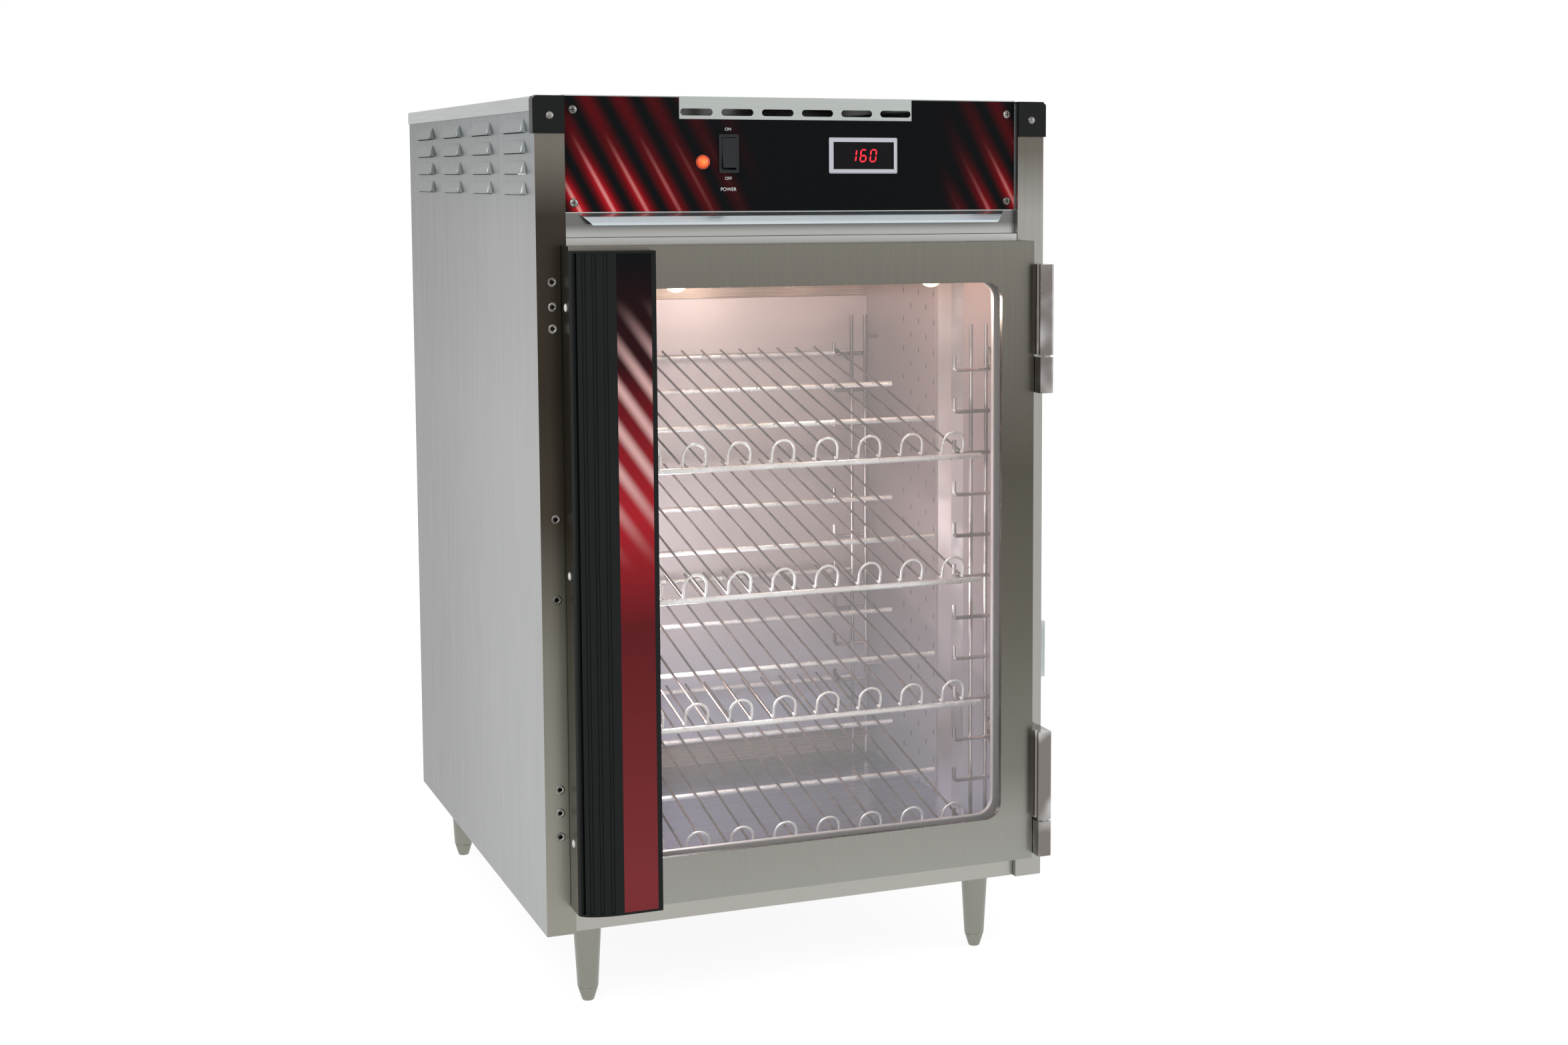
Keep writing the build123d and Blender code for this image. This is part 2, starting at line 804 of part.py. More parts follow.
# Lip under the panel and the band behind it
lip_front = front + front_recess - seam - lip_reach
with BuildPart() as header_lip:
    with BuildSketch(Plane.YZ.offset(rail_left)):
        with BuildLine():
            Polyline(
                (panel_front - seam, base + panel_bottom - 2 * skin),
                (panel_front - seam, base + panel_bottom),
                (panel_front - seam - lip_reach / 2, base + panel_bottom - 0.3 * lip_drop),
                (lip_front, base + panel_bottom - lip_drop * 0.8),
                (lip_front, base + panel_bottom - lip_drop),
                (panel_front - seam, base + panel_bottom - lip_drop),
            )
            offset(amount=skin, side=Side.LEFT)
        make_face()
    extrude(amount=between_posts)
    # slanted ends
    with BuildSketch(Plane.XZ.offset(-lip_front)):
        with Locations((middle, base + panel_bottom - lip_drop / 2)):
            Trapezoid(body_width - 2 * post_width - 2 * lip_inset, lip_drop + 2 * seam, 180 - 45)
    extrude(amount=2 * lip_reach, both=True, mode=Mode.INTERSECT)
save(header_lip.part, "header_lip")

with BuildPart() as header_band:
    with BuildSketch(Plane.YZ.offset(rail_left)):
        with BuildLine():
            Polyline(
                (panel_front, base + panel_bottom - seam),
                (panel_front, base + band_bottom),
                (panel_front + panel_return, base + band_bottom),
            )
            offset(amount=skin, side=Side.LEFT)
        make_face()
    extrude(amount=between_posts)
save(header_band.part, "header_band")

# Jamb: the channel frame between the posts that the gasket closes on
jamb_low = door_bottom + seam
jamb_front = front + jamb_recess
with BuildPart() as door_jamb:
    with BuildSketch(Plane.XZ.offset(-jamb_front)):
        with Locations((middle, base + (jamb_low + jamb_top) / 2)):
            Rectangle(between_posts, jamb_top - jamb_low)
        with Locations((middle, base + (jamb_open_bottom + jamb_open_top) / 2)):
            Rectangle(
                body_width - 2 * jamb_open_side,
                jamb_open_top - jamb_open_bottom,
                mode=Mode.SUBTRACT,
            )
    extrude(amount=-jamb_depth)
    with BuildSketch(Plane.XZ.offset(-(jamb_front + skin))):
        with Locations((middle, base + (jamb_low + jamb_top) / 2)):
            Rectangle(between_posts - 2 * skin, jamb_top - jamb_low - 2 * skin)
        with Locations((middle, base + (jamb_open_bottom + jamb_open_top) / 2)):
            Rectangle(
                body_width - 2 * (jamb_open_side - skin),
                jamb_open_top - jamb_open_bottom + 2 * skin,
                mode=Mode.SUBTRACT,
            )
    extrude(amount=-jamb_depth, mode=Mode.SUBTRACT)
    # room for the rail's and the band's return flanges
    flange_room = 2 * (jamb_depth - front_recess + jamb_recess)
    for level in (jamb_low, jamb_top):
        with Locations((middle, jamb_front + jamb_depth, base + level)):
            Box(body_width, flange_room, 2 * skin, mode=Mode.SUBTRACT)
save(door_jamb.part, "door_jamb")

# Door: outer frame with a folded window edge
door_left = middle - door_width / 2
door_right = door_left + door_width
door_front = front - door_gap - door_thickness
door_back = front - door_gap
door_low = base + door_bottom
door_high = door_low + door_height
window_width = door_width - window_left - window_right
window_height = door_height - window_bottom - window_top
door_centre = (middle, door_low + door_height / 2)
window_centre = (
    door_left + window_left + window_width / 2,
    door_low + window_bottom + window_height / 2,
)

with BuildPart() as door_frame:
    with BuildSketch(Plane.XZ.offset(-door_front)):
        with Locations(door_centre):
            Rectangle(door_width, door_height)
    extrude(amount=-door_thickness)
    with BuildSketch(Plane.XZ.offset(-(door_front + skin))):
        with Locations(door_centre):
            Rectangle(door_width - 2 * skin, door_height - 2 * skin)
    extrude(amount=-door_thickness, mode=Mode.SUBTRACT)
    top_edge = door_frame.edges().filter_by(Axis.X).group_by(Axis.Y)[0].sort_by(Axis.Z)[-1]
    fillet(top_edge, 0.9 * skin)
    with BuildSketch(Plane.XZ.offset(-(door_front + skin))):
        with Locations(window_centre):
            RectangleRounded(window_width + 2 * skin, window_height + 2 * skin, window_radius + skin)
            RectangleRounded(window_width, window_height, window_radius, mode=Mode.SUBTRACT)
    extrude(amount=-window_return)
    with BuildSketch(Plane.XZ.offset(-door_front)):
        with Locations(window_centre):
            RectangleRounded(window_width, window_height, window_radius)
    extrude(amount=-2 * skin, mode=Mode.SUBTRACT)
save(door_frame.part, "door_frame")

outer_glass_front = door_front + skin + window_return + seam
inner_glass_front = outer_glass_front + glass_thickness + pane_gap
with BuildPart() as door_glass:
    for glass_front in (outer_glass_front, inner_glass_front):
        with BuildSketch(Plane.XZ.offset(-glass_front)):
            with Locations(window_centre):
                Rectangle(window_width + 2 * glass_lap, window_height + 2 * glass_lap)
        extrude(amount=-glass_thickness)
save(door_glass.part, "door_glass")

with BuildPart() as glass_spacer:
    with BuildSketch(Plane.XZ.offset(-(outer_glass_front + glass_thickness))):
        with Locations(window_centre):
            Rectangle(window_width + 2 * glass_lap, window_height + 2 * glass_lap)
            Rectangle(window_width + glass_lap, window_height + glass_lap, mode=Mode.SUBTRACT)
    extrude(amount=-pane_gap)
save(glass_spacer.part, "glass_spacer")

# Inner frame: the pan that closes the door's back and holds the inner pane
inner_return = door_back - (inner_glass_front + glass_thickness + seam)
inner_pan_front = door_back - inner_pan_depth
with BuildPart() as door_inner_frame:
    with BuildSketch(Plane.XZ.offset(-inner_pan_front)):
        with Locations(door_centre):
            Rectangle(door_width - 2 * (skin + seam), door_height - 2 * (skin + seam))
    extrude(amount=-inner_pan_depth)
    with BuildSketch(Plane.XZ.offset(-inner_pan_front)):
        with Locations(door_centre):
            Rectangle(door_width - 4 * skin - 2 * seam, door_height - 4 * skin - 2 * seam)
    extrude(amount=-(inner_pan_depth - skin), mode=Mode.SUBTRACT)
    with BuildSketch(Plane.XZ.offset(-(door_back - inner_return))):
        with Locations(window_centre):
            RectangleRounded(window_width + 2 * skin, window_height + 2 * skin, window_radius + skin)
    extrude(amount=-inner_return)
    with BuildSketch(Plane.XZ.offset(-inner_pan_front)):
        with Locations(window_centre):
            RectangleRounded(window_width, window_height, window_radius)
    extrude(amount=-inner_pan_depth, mode=Mode.SUBTRACT)
save(door_inner_frame.part, "door_inner_frame")

with BuildPart() as door_gasket:
    with BuildSketch(Plane.XZ.offset(-door_back)):
        with Locations(door_centre):
            Rectangle(door_width - 2 * gasket_inset, door_height - 2 * gasket_inset)
            Rectangle(
                door_width - 2 * (gasket_inset + gasket_width),
                door_height - 2 * (gasket_inset + gasket_width),
                mode=Mode.SUBTRACT,
            )
    extrude(amount=-(jamb_front - door_back - fit))
    chamfer(door_gasket.faces().sort_by(Axis.Y)[-1].edges(), gasket_chamfer)
save(door_gasket.part, "door_gasket")

# Handle: a fluted extrusion over the door's free edge, with a flat for the coloured strip
handle_low = door_low
handle_high = door_high - door_lip
handle_length = handle_high - handle_low
flute_centres = [
    (
        door_left + handle_round * (1 - cos(radians(angle))),
        door_front - handle_reach * sin(radians(angle)) - 0.3 * flute_radius,
    )
    for angle in flute_angles
]


def handle_section(inset):
    """Outline of the handle, drawn in by inset on every side."""
    crown = (door_left + handle_round, door_front - handle_reach + inset)
    heel = (door_left + inset, door_front - inset)
    far = door_left + handle_width - inset
    with BuildSketch(Plane.XY.offset(handle_low + handle_cap)) as section:
        with BuildLine():
            EllipticalCenterArc(
                (crown[0], heel[1]),
                crown[0] - heel[0],
                heel[1] - crown[1],
                start_angle=180,
                arc_size=90,
            )
            Polyline(crown, (far, crown[1]), (far, heel[1]), heel)
        make_face()
    return section.sketch


with BuildPart() as handle:
    add(handle_section(0))
    extrude(amount=handle_length - 2 * handle_cap)
    add(handle_section(handle_wall))
    extrude(amount=handle_length - 2 * handle_cap, mode=Mode.SUBTRACT)
    with BuildSketch(Plane.XY.offset(handle_low + handle_cap)):
        with Locations(*flute_centres):
            Circle(flute_radius * 0.8)
        with Locations((door_left + insert_strip_start, door_front - handle_reach)):
            Rectangle(
                insert_strip_width + 2 * seam,
                insert_strip_depth,
                align=(Align.MIN, Align.MIN),
            )
    extrude(amount=handle_length, mode=Mode.SUBTRACT)
save(handle.part, "handle")

with BuildPart() as handle_caps:
    add(handle_section(0).moved(Location((0, 0, -handle_cap))))
    extrude(amount=handle_cap)
    add(handle_section(0).moved(Location((0, 0, handle_length - 2 * handle_cap))))
    extrude(amount=handle_cap)
save(handle_caps.part, "handle_caps")

with BuildPart() as handle_insert:
    with BuildSketch(Plane.XY.offset(handle_low + handle_cap)):
        with Locations((door_left + insert_strip_start + seam, door_front - handle_reach)):
            Rectangle(
                insert_strip_width,
                insert_strip_depth,
                align=(Align.MIN, Align.MIN),
            )
    extrude(amount=handle_length - 2 * handle_cap)
save(handle_insert.part, "handle_insert")

with BuildPart() as handle_plugs:
    for height in plug_heights:
        plug_plane = Plane(
            origin=(door_left, (door_front + door_back) / 2, base + height),
            x_dir=(0, 1, 0),
            z_dir=(-1, 0, 0),
        )
        with BuildSketch(plug_plane):
            RegularPolygon(plug_radius, plug_sides)
        with BuildSketch(plug_plane.offset(plug_rise)):
            RegularPolygon(plug_crown, plug_sides)
        loft()
save(handle_plugs.part, "handle_plugs")

# Hinges: a plate and lower knuckle on the post, an upper block on the door's edge, one pin
hinge_left = door_right
hinge_front = door_front - hinge_proud
pin_place = (door_right + pin_inset, hinge_front + pin_depth)
knuckle_left = hinge_left + hinge_side_gap
with BuildPart() as hinge_frame_leaves:
    for bottom in hinge_bottoms:
        with BuildSketch(Plane.XY.offset(base + bottom)):
            with Locations((knuckle_left, front)):
                Rectangle(hinge_width, hinge_plate, align=(Align.MIN, Align.MAX))
        extrude(amount=hinge_height)
        with BuildSketch(Plane.XY.offset(base + bottom)):
            with Locations((knuckle_left, front)):
                Rectangle(hinge_width, front - hinge_front, align=(Align.MIN, Align.MAX))
        extrude(amount=hinge_split)
    knuckle_corners = hinge_frame_leaves.edges().filter_by(Axis.Z).group_by(Axis.Y)[0]
    fillet(knuckle_corners, hinge_corner)
    # each pin is pressed into its knuckle for good
    for bottom in hinge_bottoms:
        with BuildSketch(Plane.XY.offset(base + bottom + hinge_split)):
            with Locations(pin_place):
                Circle(pin_radius)
        extrude(amount=pin_length)
save(hinge_frame_leaves.part, "hinge_frame_leaves")

block_low = hinge_split + hinge_washer + fit
with BuildPart() as hinge_door_leaves:
    for bottom in hinge_bottoms:
        with BuildSketch(Plane.XY.offset(base + bottom + block_low)):
            with Locations((hinge_left, hinge_front)):
                Rectangle(
                    hinge_width + hinge_side_gap,
                    front - hinge_front - hinge_plate - hinge_back_gap,
                    align=(Align.MIN, Align.MIN),
                )
        extrude(amount=hinge_height - block_low)
    block_corners = hinge_door_leaves.edges().filter_by(Axis.Z).group_by(Axis.Y)[0]
    fillet(block_corners, hinge_corner)
    for bottom in hinge_bottoms:
        with BuildSketch(Plane.XY.offset(base + bottom + block_low)):
            with Locations(pin_place):
                Circle(pin_radius + pin_fit)
        extrude(amount=pin_length, mode=Mode.SUBTRACT)
        with BuildSketch(Plane.XY.offset(base + bottom + block_low)):
            with Locations((hinge_left, pin_place[1])):
                Circle(hinge_hollow)
        extrude(amount=hinge_height, mode=Mode.SUBTRACT)
save(hinge_door_leaves.part, "hinge_door_leaves")

with BuildPart() as hinge_washers:
    for bottom in hinge_bottoms:
        with BuildSketch(Plane.XY.offset(base + bottom + hinge_split)):
            with Locations(pin_place):
                RegularPolygon(washer_radius, washer_sides)
                Circle(pin_radius + pin_fit, mode=Mode.SUBTRACT)
        extrude(amount=hinge_washer)
save(hinge_washers.part, "hinge_washers")

# Cleat on the right side
with BuildPart() as side_cleat:
    with BuildSketch(Plane.XY.offset(base + cleat_bottom)):
        with Locations((right, front + cleat_start)):
            Rectangle(cleat_thickness, cleat_length, align=(Align.MIN, Align.MIN))
    extrude(amount=cleat_height)
    fillet(side_cleat.edges().filter_by(Axis.Z).group_by(Axis.X)[-1], cleat_corner)
save(side_cleat.part, "side_cleat")

# Legs: tapered tubes bolted through the pan, and the screw feet in their ends
leg_end = foot_height + fit
leg_rings = (
    (leg_end, leg_end_radius),
    (leg_height - leg_collar, leg_top_radius),
    (leg_height, leg_top_radius),
)
with BuildPart() as leg:
    add(ringed(leg_rings, leg_sides))
    with BuildSketch(Plane.XY.offset(leg_end)):
        RegularPolygon(foot_stem + pin_fit, foot_stem_sides)
    extrude(amount=foot_travel + foot_grip + foot_bore_end, mode=Mode.SUBTRACT)
    with BuildSketch(Plane.XY.offset(leg_height)):
        RegularPolygon(leg_stud, leg_stud_sides)
    extrude(amount=skin + leg_plate_thickness + leg_stud_end)

with BuildPart() as legs:
    with Locations(*leg_places):
        add(leg.part)
save(legs.part, "legs")

foot_rings = ((0, foot_tip_radius), (foot_height, leg_end_radius - fit))
with BuildPart() as foot:
    add(ringed(foot_rings, leg_sides))
    with BuildSketch(Plane.XY.offset(foot_height)):
        RegularPolygon(foot_stem, foot_stem_sides)
    extrude(amount=foot_travel + foot_grip)

for foot_name, place in zip(("front_left", "front_right", "back_left", "back_right"), leg_places):
    with BuildPart() as placed_foot:
        with Locations(place):
            add(foot.part)
    save(placed_foot.part, f"foot_{foot_name}")

# Cavity walls
wall_front = jamb_front + jamb_depth + seam + liner
wall_back = front + cavity_back
wall_left = left + wall_gap
floor_level = base + cavity_floor
ceiling_level = base + cavity_ceiling
with BuildPart() as liner_left:
    with BuildSketch(Plane.XY.offset(floor_level)):
        with BuildLine():
            Polyline(
                (left + jamb_open_side - skin - fit, wall_front),
                (wall_left + liner, wall_front),
                (wall_left + liner, wall_back),
            )
            offset(amount=liner, side=Side.LEFT)
        make_face()
    extrude(amount=ceiling_level - floor_level)
save(liner_left.part, "liner_left")

with BuildPart() as liner_right:
    mirror(liner_left.part, about=mirror_plane)
save(liner_right.part, "liner_right")

cavity_width = body_width - 2 * wall_gap
with BuildPart() as liner_floor:
    with BuildSketch(Plane.XY.offset(floor_level - liner)):
        with Locations((middle, wall_front)):
            Rectangle(cavity_width, wall_back - wall_front, align=(Align.CENTER, Align.MIN))
    extrude(amount=liner)
save(liner_floor.part, "liner_floor")

with BuildPart() as liner_ceiling:
    with BuildSketch(Plane.XY.offset(ceiling_level)):
        with Locations((middle, wall_front)):
            Rectangle(cavity_width, wall_back - wall_front, align=(Align.CENTER, Align.MIN))
        with Locations(*[(left + x, front + y) for x, y in bulb_places]):
            RegularPolygon(socket_radius + seam, bulb_sides, mode=Mode.SUBTRACT)
        with Locations((middle, wall_back - probe_back_gap)):
            RegularPolygon(probe_radius + seam, probe_sides, mode=Mode.SUBTRACT)
    extrude(amount=liner)
save(liner_ceiling.part, "liner_ceiling")

outlet_level = base + intake_level - fan_radius - outlet_drop - outlet_height / 2
heater_ends = (middle - heater_end_spacing / 2, middle + heater_end_spacing / 2)
with BuildPart() as liner_back:
    with BuildSketch(Plane.XZ.offset(-wall_back)):
        with Locations((middle, (floor_level + ceiling_level) / 2)):
            Rectangle(cavity_width, ceiling_level - floor_level + 2 * liner)
        # the blower's intake grille and outlet
        with Locations((middle, base + intake_level)):
            with GridLocations(1, intake_pitch, 1, intake_slots):
                Rectangle(1.4 * intake_radius, intake_pitch / 2, mode=Mode.SUBTRACT)
        with Locations((middle, outlet_level)):
            Rectangle(outlet_width - 2 * housing_wall, outlet_height - 2 * housing_wall, mode=Mode.SUBTRACT)
        with Locations(*[(x, base + heater_top) for x in heater_ends]):
            RegularPolygon(heater_radius + seam, heater_sides, mode=Mode.SUBTRACT)
    extrude(amount=-liner)
save(liner_back.part, "liner_back")

# Duct cover: stands off the back wall, so warm air runs down behind it to the floor
duct_front = wall_back - duct_depth
with BuildPart() as duct_cover:
    with BuildSketch(Plane.YZ.offset(wall_left + liner + fit)):
        with BuildLine():
            Polyline(
                (duct_front, base + duct_bottom),
                (duct_front, base + duct_top),
                (wall_back - seam, base + duct_top),
            )
            offset(amount=liner, side=Side.RIGHT)
        make_face()
    extrude(amount=cavity_width - 2 * liner - 2 * fit)
save(duct_cover.part, "duct_cover")

# Heating element: a sheathed tube in two passes behind the duct cover
heater_y = wall_back - duct_depth / 2 + liner / 2
heater_middle = base + (heater_top + heater_bottom) / 2
with BuildPart() as heater_element:
    with BuildLine() as heater_path:
        Polyline(
            (heater_ends[0], wall_back + liner + heater_terminal, base + heater_top),
            (heater_ends[0], heater_y, base + heater_top),
            (heater_ends[0], heater_y, heater_middle),
            (middle - heater_half_width, heater_y, heater_middle),
            (middle - heater_half_width, heater_y, base + heater_bottom),
            (middle + heater_half_width, heater_y, base + heater_bottom),
            (middle + heater_half_width, heater_y, heater_middle),
            (heater_ends[1], heater_y, heater_middle),
            (heater_ends[1], heater_y, base + heater_top),
            (heater_ends[1], wall_back + liner + heater_terminal, base + heater_top),
        )
    with BuildSketch(Plane(origin=heater_path.line @ 0, x_dir=(1, 0, 0), z_dir=(0, -1, 0))):
        RegularPolygon(heater_radius, heater_sides)
    sweep(transition=Transition.RIGHT)
save(heater_element.part, "heater_element")

# Blower: scroll housing on the back wall, motor behind it, wheel inside
fan_axis_plane = Plane(
    origin=(middle, wall_back + liner, base + intake_level),
    x_dir=(1, 0, 0),
    z_dir=(0, 1, 0),
)
scroll_radius = fan_radius + scroll_gap
neck_low = -(fan_radius + outlet_drop + outlet_height)
with BuildPart() as blower_housing:
    with BuildSketch(fan_axis_plane):
        RegularPolygon(scroll_radius, scroll_sides)
        with Locations((0, scroll_radius / 2)):
            Rectangle(outlet_width, scroll_radius / 2 - neck_low, align=(Align.CENTER, Align.MAX))
    extrude(amount=housing_depth)
    with BuildSketch(fan_axis_plane.offset(housing_wall)):
        RegularPolygon(scroll_radius - housing_wall, scroll_sides)
        with Locations((0, scroll_radius / 2)):
            Rectangle(
                outlet_width - 2 * housing_wall,
                scroll_radius / 2 - neck_low - housing_wall,
                align=(Align.CENTER, Align.MAX),
            )
    extrude(amount=housing_depth - 2 * housing_wall, mode=Mode.SUBTRACT)
    with BuildSketch(fan_axis_plane):
        RegularPolygon(intake_radius, scroll_sides)
        with Locations((0, neck_low + outlet_height / 2)):
            Rectangle(outlet_width - 2 * housing_wall, outlet_height - 2 * housing_wall)
    extrude(amount=housing_wall, mode=Mode.SUBTRACT)
    with BuildSketch(fan_axis_plane.offset(housing_depth)):
        RegularPolygon(housing_bore, scroll_sides)
    extrude(amount=-2 * housing_wall, mode=Mode.SUBTRACT)
save(blower_housing.part, "blower_housing")

fan_start = (housing_depth - fan_width) / 2
with BuildPart() as fan_wheel:
    # back plate, front ring and the blades between them
    with BuildSketch(fan_axis_plane.offset(fan_start + fan_width - fan_plate)):
        RegularPolygon(fan_radius, fan_blades)
    extrude(amount=fan_plate)
    with BuildSketch(fan_axis_plane.offset(fan_start)):
        RegularPolygon(fan_radius, fan_blades)
        RegularPolygon(fan_radius - fan_rim, fan_blades, mode=Mode.SUBTRACT)
    extrude(amount=fan_plate)
    with BuildSketch(fan_axis_plane.offset(fan_start)):
        with PolarLocations(fan_radius - fan_rim / 2, fan_blades):
            Rectangle(fan_blade_chord, fan_sheet, rotation=fan_blade_angle)
    extrude(amount=fan_width)
    with BuildSketch(fan_axis_plane.offset(fan_start + fan_width / 2)):
        RegularPolygon(fan_hub, fan_blades)
    extrude(amount=fan_width / 2)
    with BuildSketch(fan_axis_plane.offset(fan_start + fan_width)):
        Circle(shaft_radius)
    extrude(amount=fan_start + shaft_seat)
save(fan_wheel.part, "fan_wheel")

with BuildPart() as blower_motor:
    with BuildSketch(fan_axis_plane.offset(housing_depth)):
        RegularPolygon(motor_radius, scroll_sides)
    extrude(amount=motor_length)
    chamfer(blower_motor.faces().sort_by(Axis.Y)[-1].edges(), motor_chamfer)
    with BuildSketch(fan_axis_plane.offset(housing_depth)):
        Circle(shaft_radius + pin_fit)
    extrude(amount=shaft_seat + shaft_end_gap, mode=Mode.SUBTRACT)
save(blower_motor.part, "blower_motor")

# Interior lamps and the air probe hang from the ceiling
with BuildPart() as lamp_sockets:
    with BuildSketch(Plane.XY.offset(ceiling_level)):
        with Locations(*[(left + x, front + y) for x, y in bulb_places]):
            RegularPolygon(socket_radius, bulb_sides)
    extrude(amount=socket_height)
save(lamp_sockets.part, "lamp_sockets")

bulb_rings = (
    (-bulb_length, bulb_crown),
    (-bulb_length + bulb_dome, bulb_radius),
    (-bulb_neck_length - bulb_flare, bulb_radius),
    (-bulb_neck_length, bulb_neck),
    (0, bulb_neck),
)
with BuildPart() as lamp_bulbs:
    with Locations(*[(left + x, front + y, ceiling_level) for x, y in bulb_places]):
        add(ringed(bulb_rings, bulb_sides))
save(lamp_bulbs.part, "lamp_bulbs")

with BuildPart() as air_probe:
    with BuildSketch(Plane.XY.offset(ceiling_level - probe_length)):
        with Locations((middle, wall_back - probe_back_gap)):
            RegularPolygon(probe_radius, probe_sides)
    extrude(amount=probe_length + probe_tail)
    with BuildSketch(Plane.XY.offset(ceiling_level + liner)):
        with Locations((middle, wall_back - probe_back_gap)):
            RegularPolygon(probe_collar, probe_sides)
    extrude(amount=probe_collar_height)
save(air_probe.part, "air_probe")

# Bright channel on each side wall
with BuildPart() as wall_channel:
    with BuildSketch(Plane.XY.offset(floor_level + fit)):
        with BuildLine():
            Polyline(
                (wall_left + liner, front + channel_start),
                (wall_left + liner + channel_rise, front + channel_start + channel_step),
                (wall_left + liner + channel_rise, front + channel_start + channel_width - channel_step),
                (wall_left + liner, front + channel_start + channel_width),
                close=True,
            )
        make_face()
    extrude(amount=ceiling_level - floor_level - 2 * fit)

with BuildPart() as wall_channels:
    add(wall_channel.part)
    mirror(wall_channel.part, about=mirror_plane)
save(wall_channels.part, "wall_channels")

# Insulation between skin and liner
with BuildPart() as side_insulation:
    with BuildSketch(Plane.XY.offset(floor_level)):
        for slab_x in (left + skin + seam, right - wall_gap + seam):
            with Locations((slab_x, wall_front + post_width)):
                Rectangle(
                    wall_gap - skin - 2 * seam,
                    wall_back - wall_front - post_width,
                    align=(Align.MIN, Align.MIN),
                )
    extrude(amount=ceiling_level - floor_level)
save(side_insulation.part, "side_insulation")

# Wire shelf: thick cross rods, thin wires over them, and stops bent up at the front
wire_line = rod_radius + wire_gap + wire_radius
wire_span = rod_span + rod_radius + wire_stub
arch_radius = wire_pitch / 2
arch_turn = 180 / arch_steps
with BuildPart() as hairpin:
    with BuildLine() as hairpin_path:
        Polyline(
            (-arch_radius, wire_span, wire_line),
            (-arch_radius, 0, wire_line),
            *[
                (
                    -arch_radius * cos(radians(step * arch_turn)),
                    0,
                    arch_height - arch_radius + arch_radius * sin(radians(step * arch_turn)),
                )
                for step in range(arch_steps + 1)
            ],
            (arch_radius, 0, wire_line),
            (arch_radius, wire_span, wire_line),
        )
    with BuildSketch(Plane(origin=hairpin_path.line @ 0, x_dir=(1, 0, 0), z_dir=(0, -1, 0))):
        Rectangle(2 * wire_radius, 2 * wire_radius)
    sweep(transition=Transition.RIGHT)

with BuildPart() as wire_shelf:
    with BuildSketch(Plane.YZ.offset(-rod_length / 2)):
        with Locations(*[(rod * rod_pitch, 0) for rod in range(rod_count)]):
            RegularPolygon(rod_radius, 6, major_radius=False)
    extrude(amount=rod_length)
    with Locations(*[((pair - (arch_count - 1) / 2) * 2 * wire_pitch, 0) for pair in range(arch_count)]):
        add(hairpin.part)

shelf_angle = radians(shelf_tilt)
shelf_planes = [
    Plane(
        origin=(middle, front + first_rod_depth, base + lowest_rod_level + number * shelf_pitch),
        x_dir=(1, 0, 0),
        z_dir=(0, -sin(shelf_angle), cos(shelf_angle)),
    )
    for number in range(shelf_count)
]
with BuildPart() as wire_shelves:
    with Locations(*shelf_planes):
        add(wire_shelf.part)
save(wire_shelves.part, "wire_shelves")


# Racks: ladders of hooks that carry the shelves' outer wires
def shelf_rise(depth):
    """Height of the underside of a shelf's wires above its first rod, at this depth."""
    slope = sin(shelf_angle) / cos(shelf_angle)
    return (depth - first_rod_depth) * slope + rod_radius / cos(shelf_angle)


rear_hook_depth = first_rod_depth + rod_span * cos(shelf_angle) - hook_to_back_rod
hook_drop = rack_rod * (1 + sin(shelf_angle) / cos(shelf_angle)) + hook_gap
wall_rod = right - wall_gap - liner - rack_wall_gap


def rack_ladder(hook_depth, turn, rack_top):
    """One ladder at the right wall: hooks along X, two uprights beside them."""
    level = base + lowest_rod_level + shelf_rise(hook_depth) - hook_drop
    rods = (wall_rod, wall_rod - rack_rod_spacing)
    upright_y = front + hook_depth + turn * (2 * rack_rod + wire_gap)
    steps = range(-shelf_count, shelf_count * hooks_per_shelf + 1)
    highest = base + rack_top - hook_rise
    hooks = [level + step * hook_pitch for step in steps]
    hooks = [height for height in hooks if base + rack_bottom + hook_rise / 2 < height < highest]
    with BuildPart() as ladder:
        with BuildSketch(Plane.XY.offset(base + rack_bottom)):
            with Locations(*[(x, upright_y) for x in rods]):
                Rectangle(2 * rack_rod, 2 * rack_rod)
        extrude(amount=rack_top - rack_bottom)
        with BuildSketch(Plane.YZ.offset(left + hook_end - rack_rod)):
            with Locations(*[(front + hook_depth, height) for height in hooks]):
                Rectangle(2 * rack_rod, 2 * rack_rod)
        extrude(amount=wall_rod - left - hook_end + 2 * rack_rod)
        for height in hooks:
            with BuildSketch(Plane.XY.offset(height)):
                with Locations((left + hook_end, front + hook_depth)):
                    Rectangle(2 * rack_rod, 2 * rack_rod)
            extrude(amount=hook_rise)
        # stays to the wall
        with BuildSketch(Plane.YZ.offset(wall_rod + rack_rod)):
            with Locations(*[(upright_y, base + height) for height in knob_levels]):
                Rectangle(2 * rack_rod, 2 * rack_rod)
        extrude(amount=rack_wall_gap - rack_rod - seam)
    return ladder.part


knob_depth = front_hook_depth + 2 * rack_rod - knob_offset
tab_right = wall_rod + rack_rod + tab_thickness
with BuildPart() as rack_tabs_right:
    with BuildSketch(Plane.YZ.offset(tab_right - tab_thickness)):
        for level in knob_levels:
            with Locations((front + knob_depth - tab_height / 3, base + level)):
                Rectangle(tab_width, tab_height, align=(Align.MIN, Align.CENTER))
            with Locations((front + knob_depth, base + level)):
                RegularPolygon(knob_stud + seam, 6, mode=Mode.SUBTRACT)
    extrude(amount=tab_thickness)

with BuildPart() as rack_right:
    add(rack_ladder(front_hook_depth, 1, rack_top_front))
    add(rack_ladder(rear_hook_depth, -1, rack_top_rear))
    add(rack_tabs_right.part)
save(rack_right.part, "rack_right")

with BuildPart() as rack_left:
    mirror(rack_right.part, about=mirror_plane)
save(rack_left.part, "rack_left")

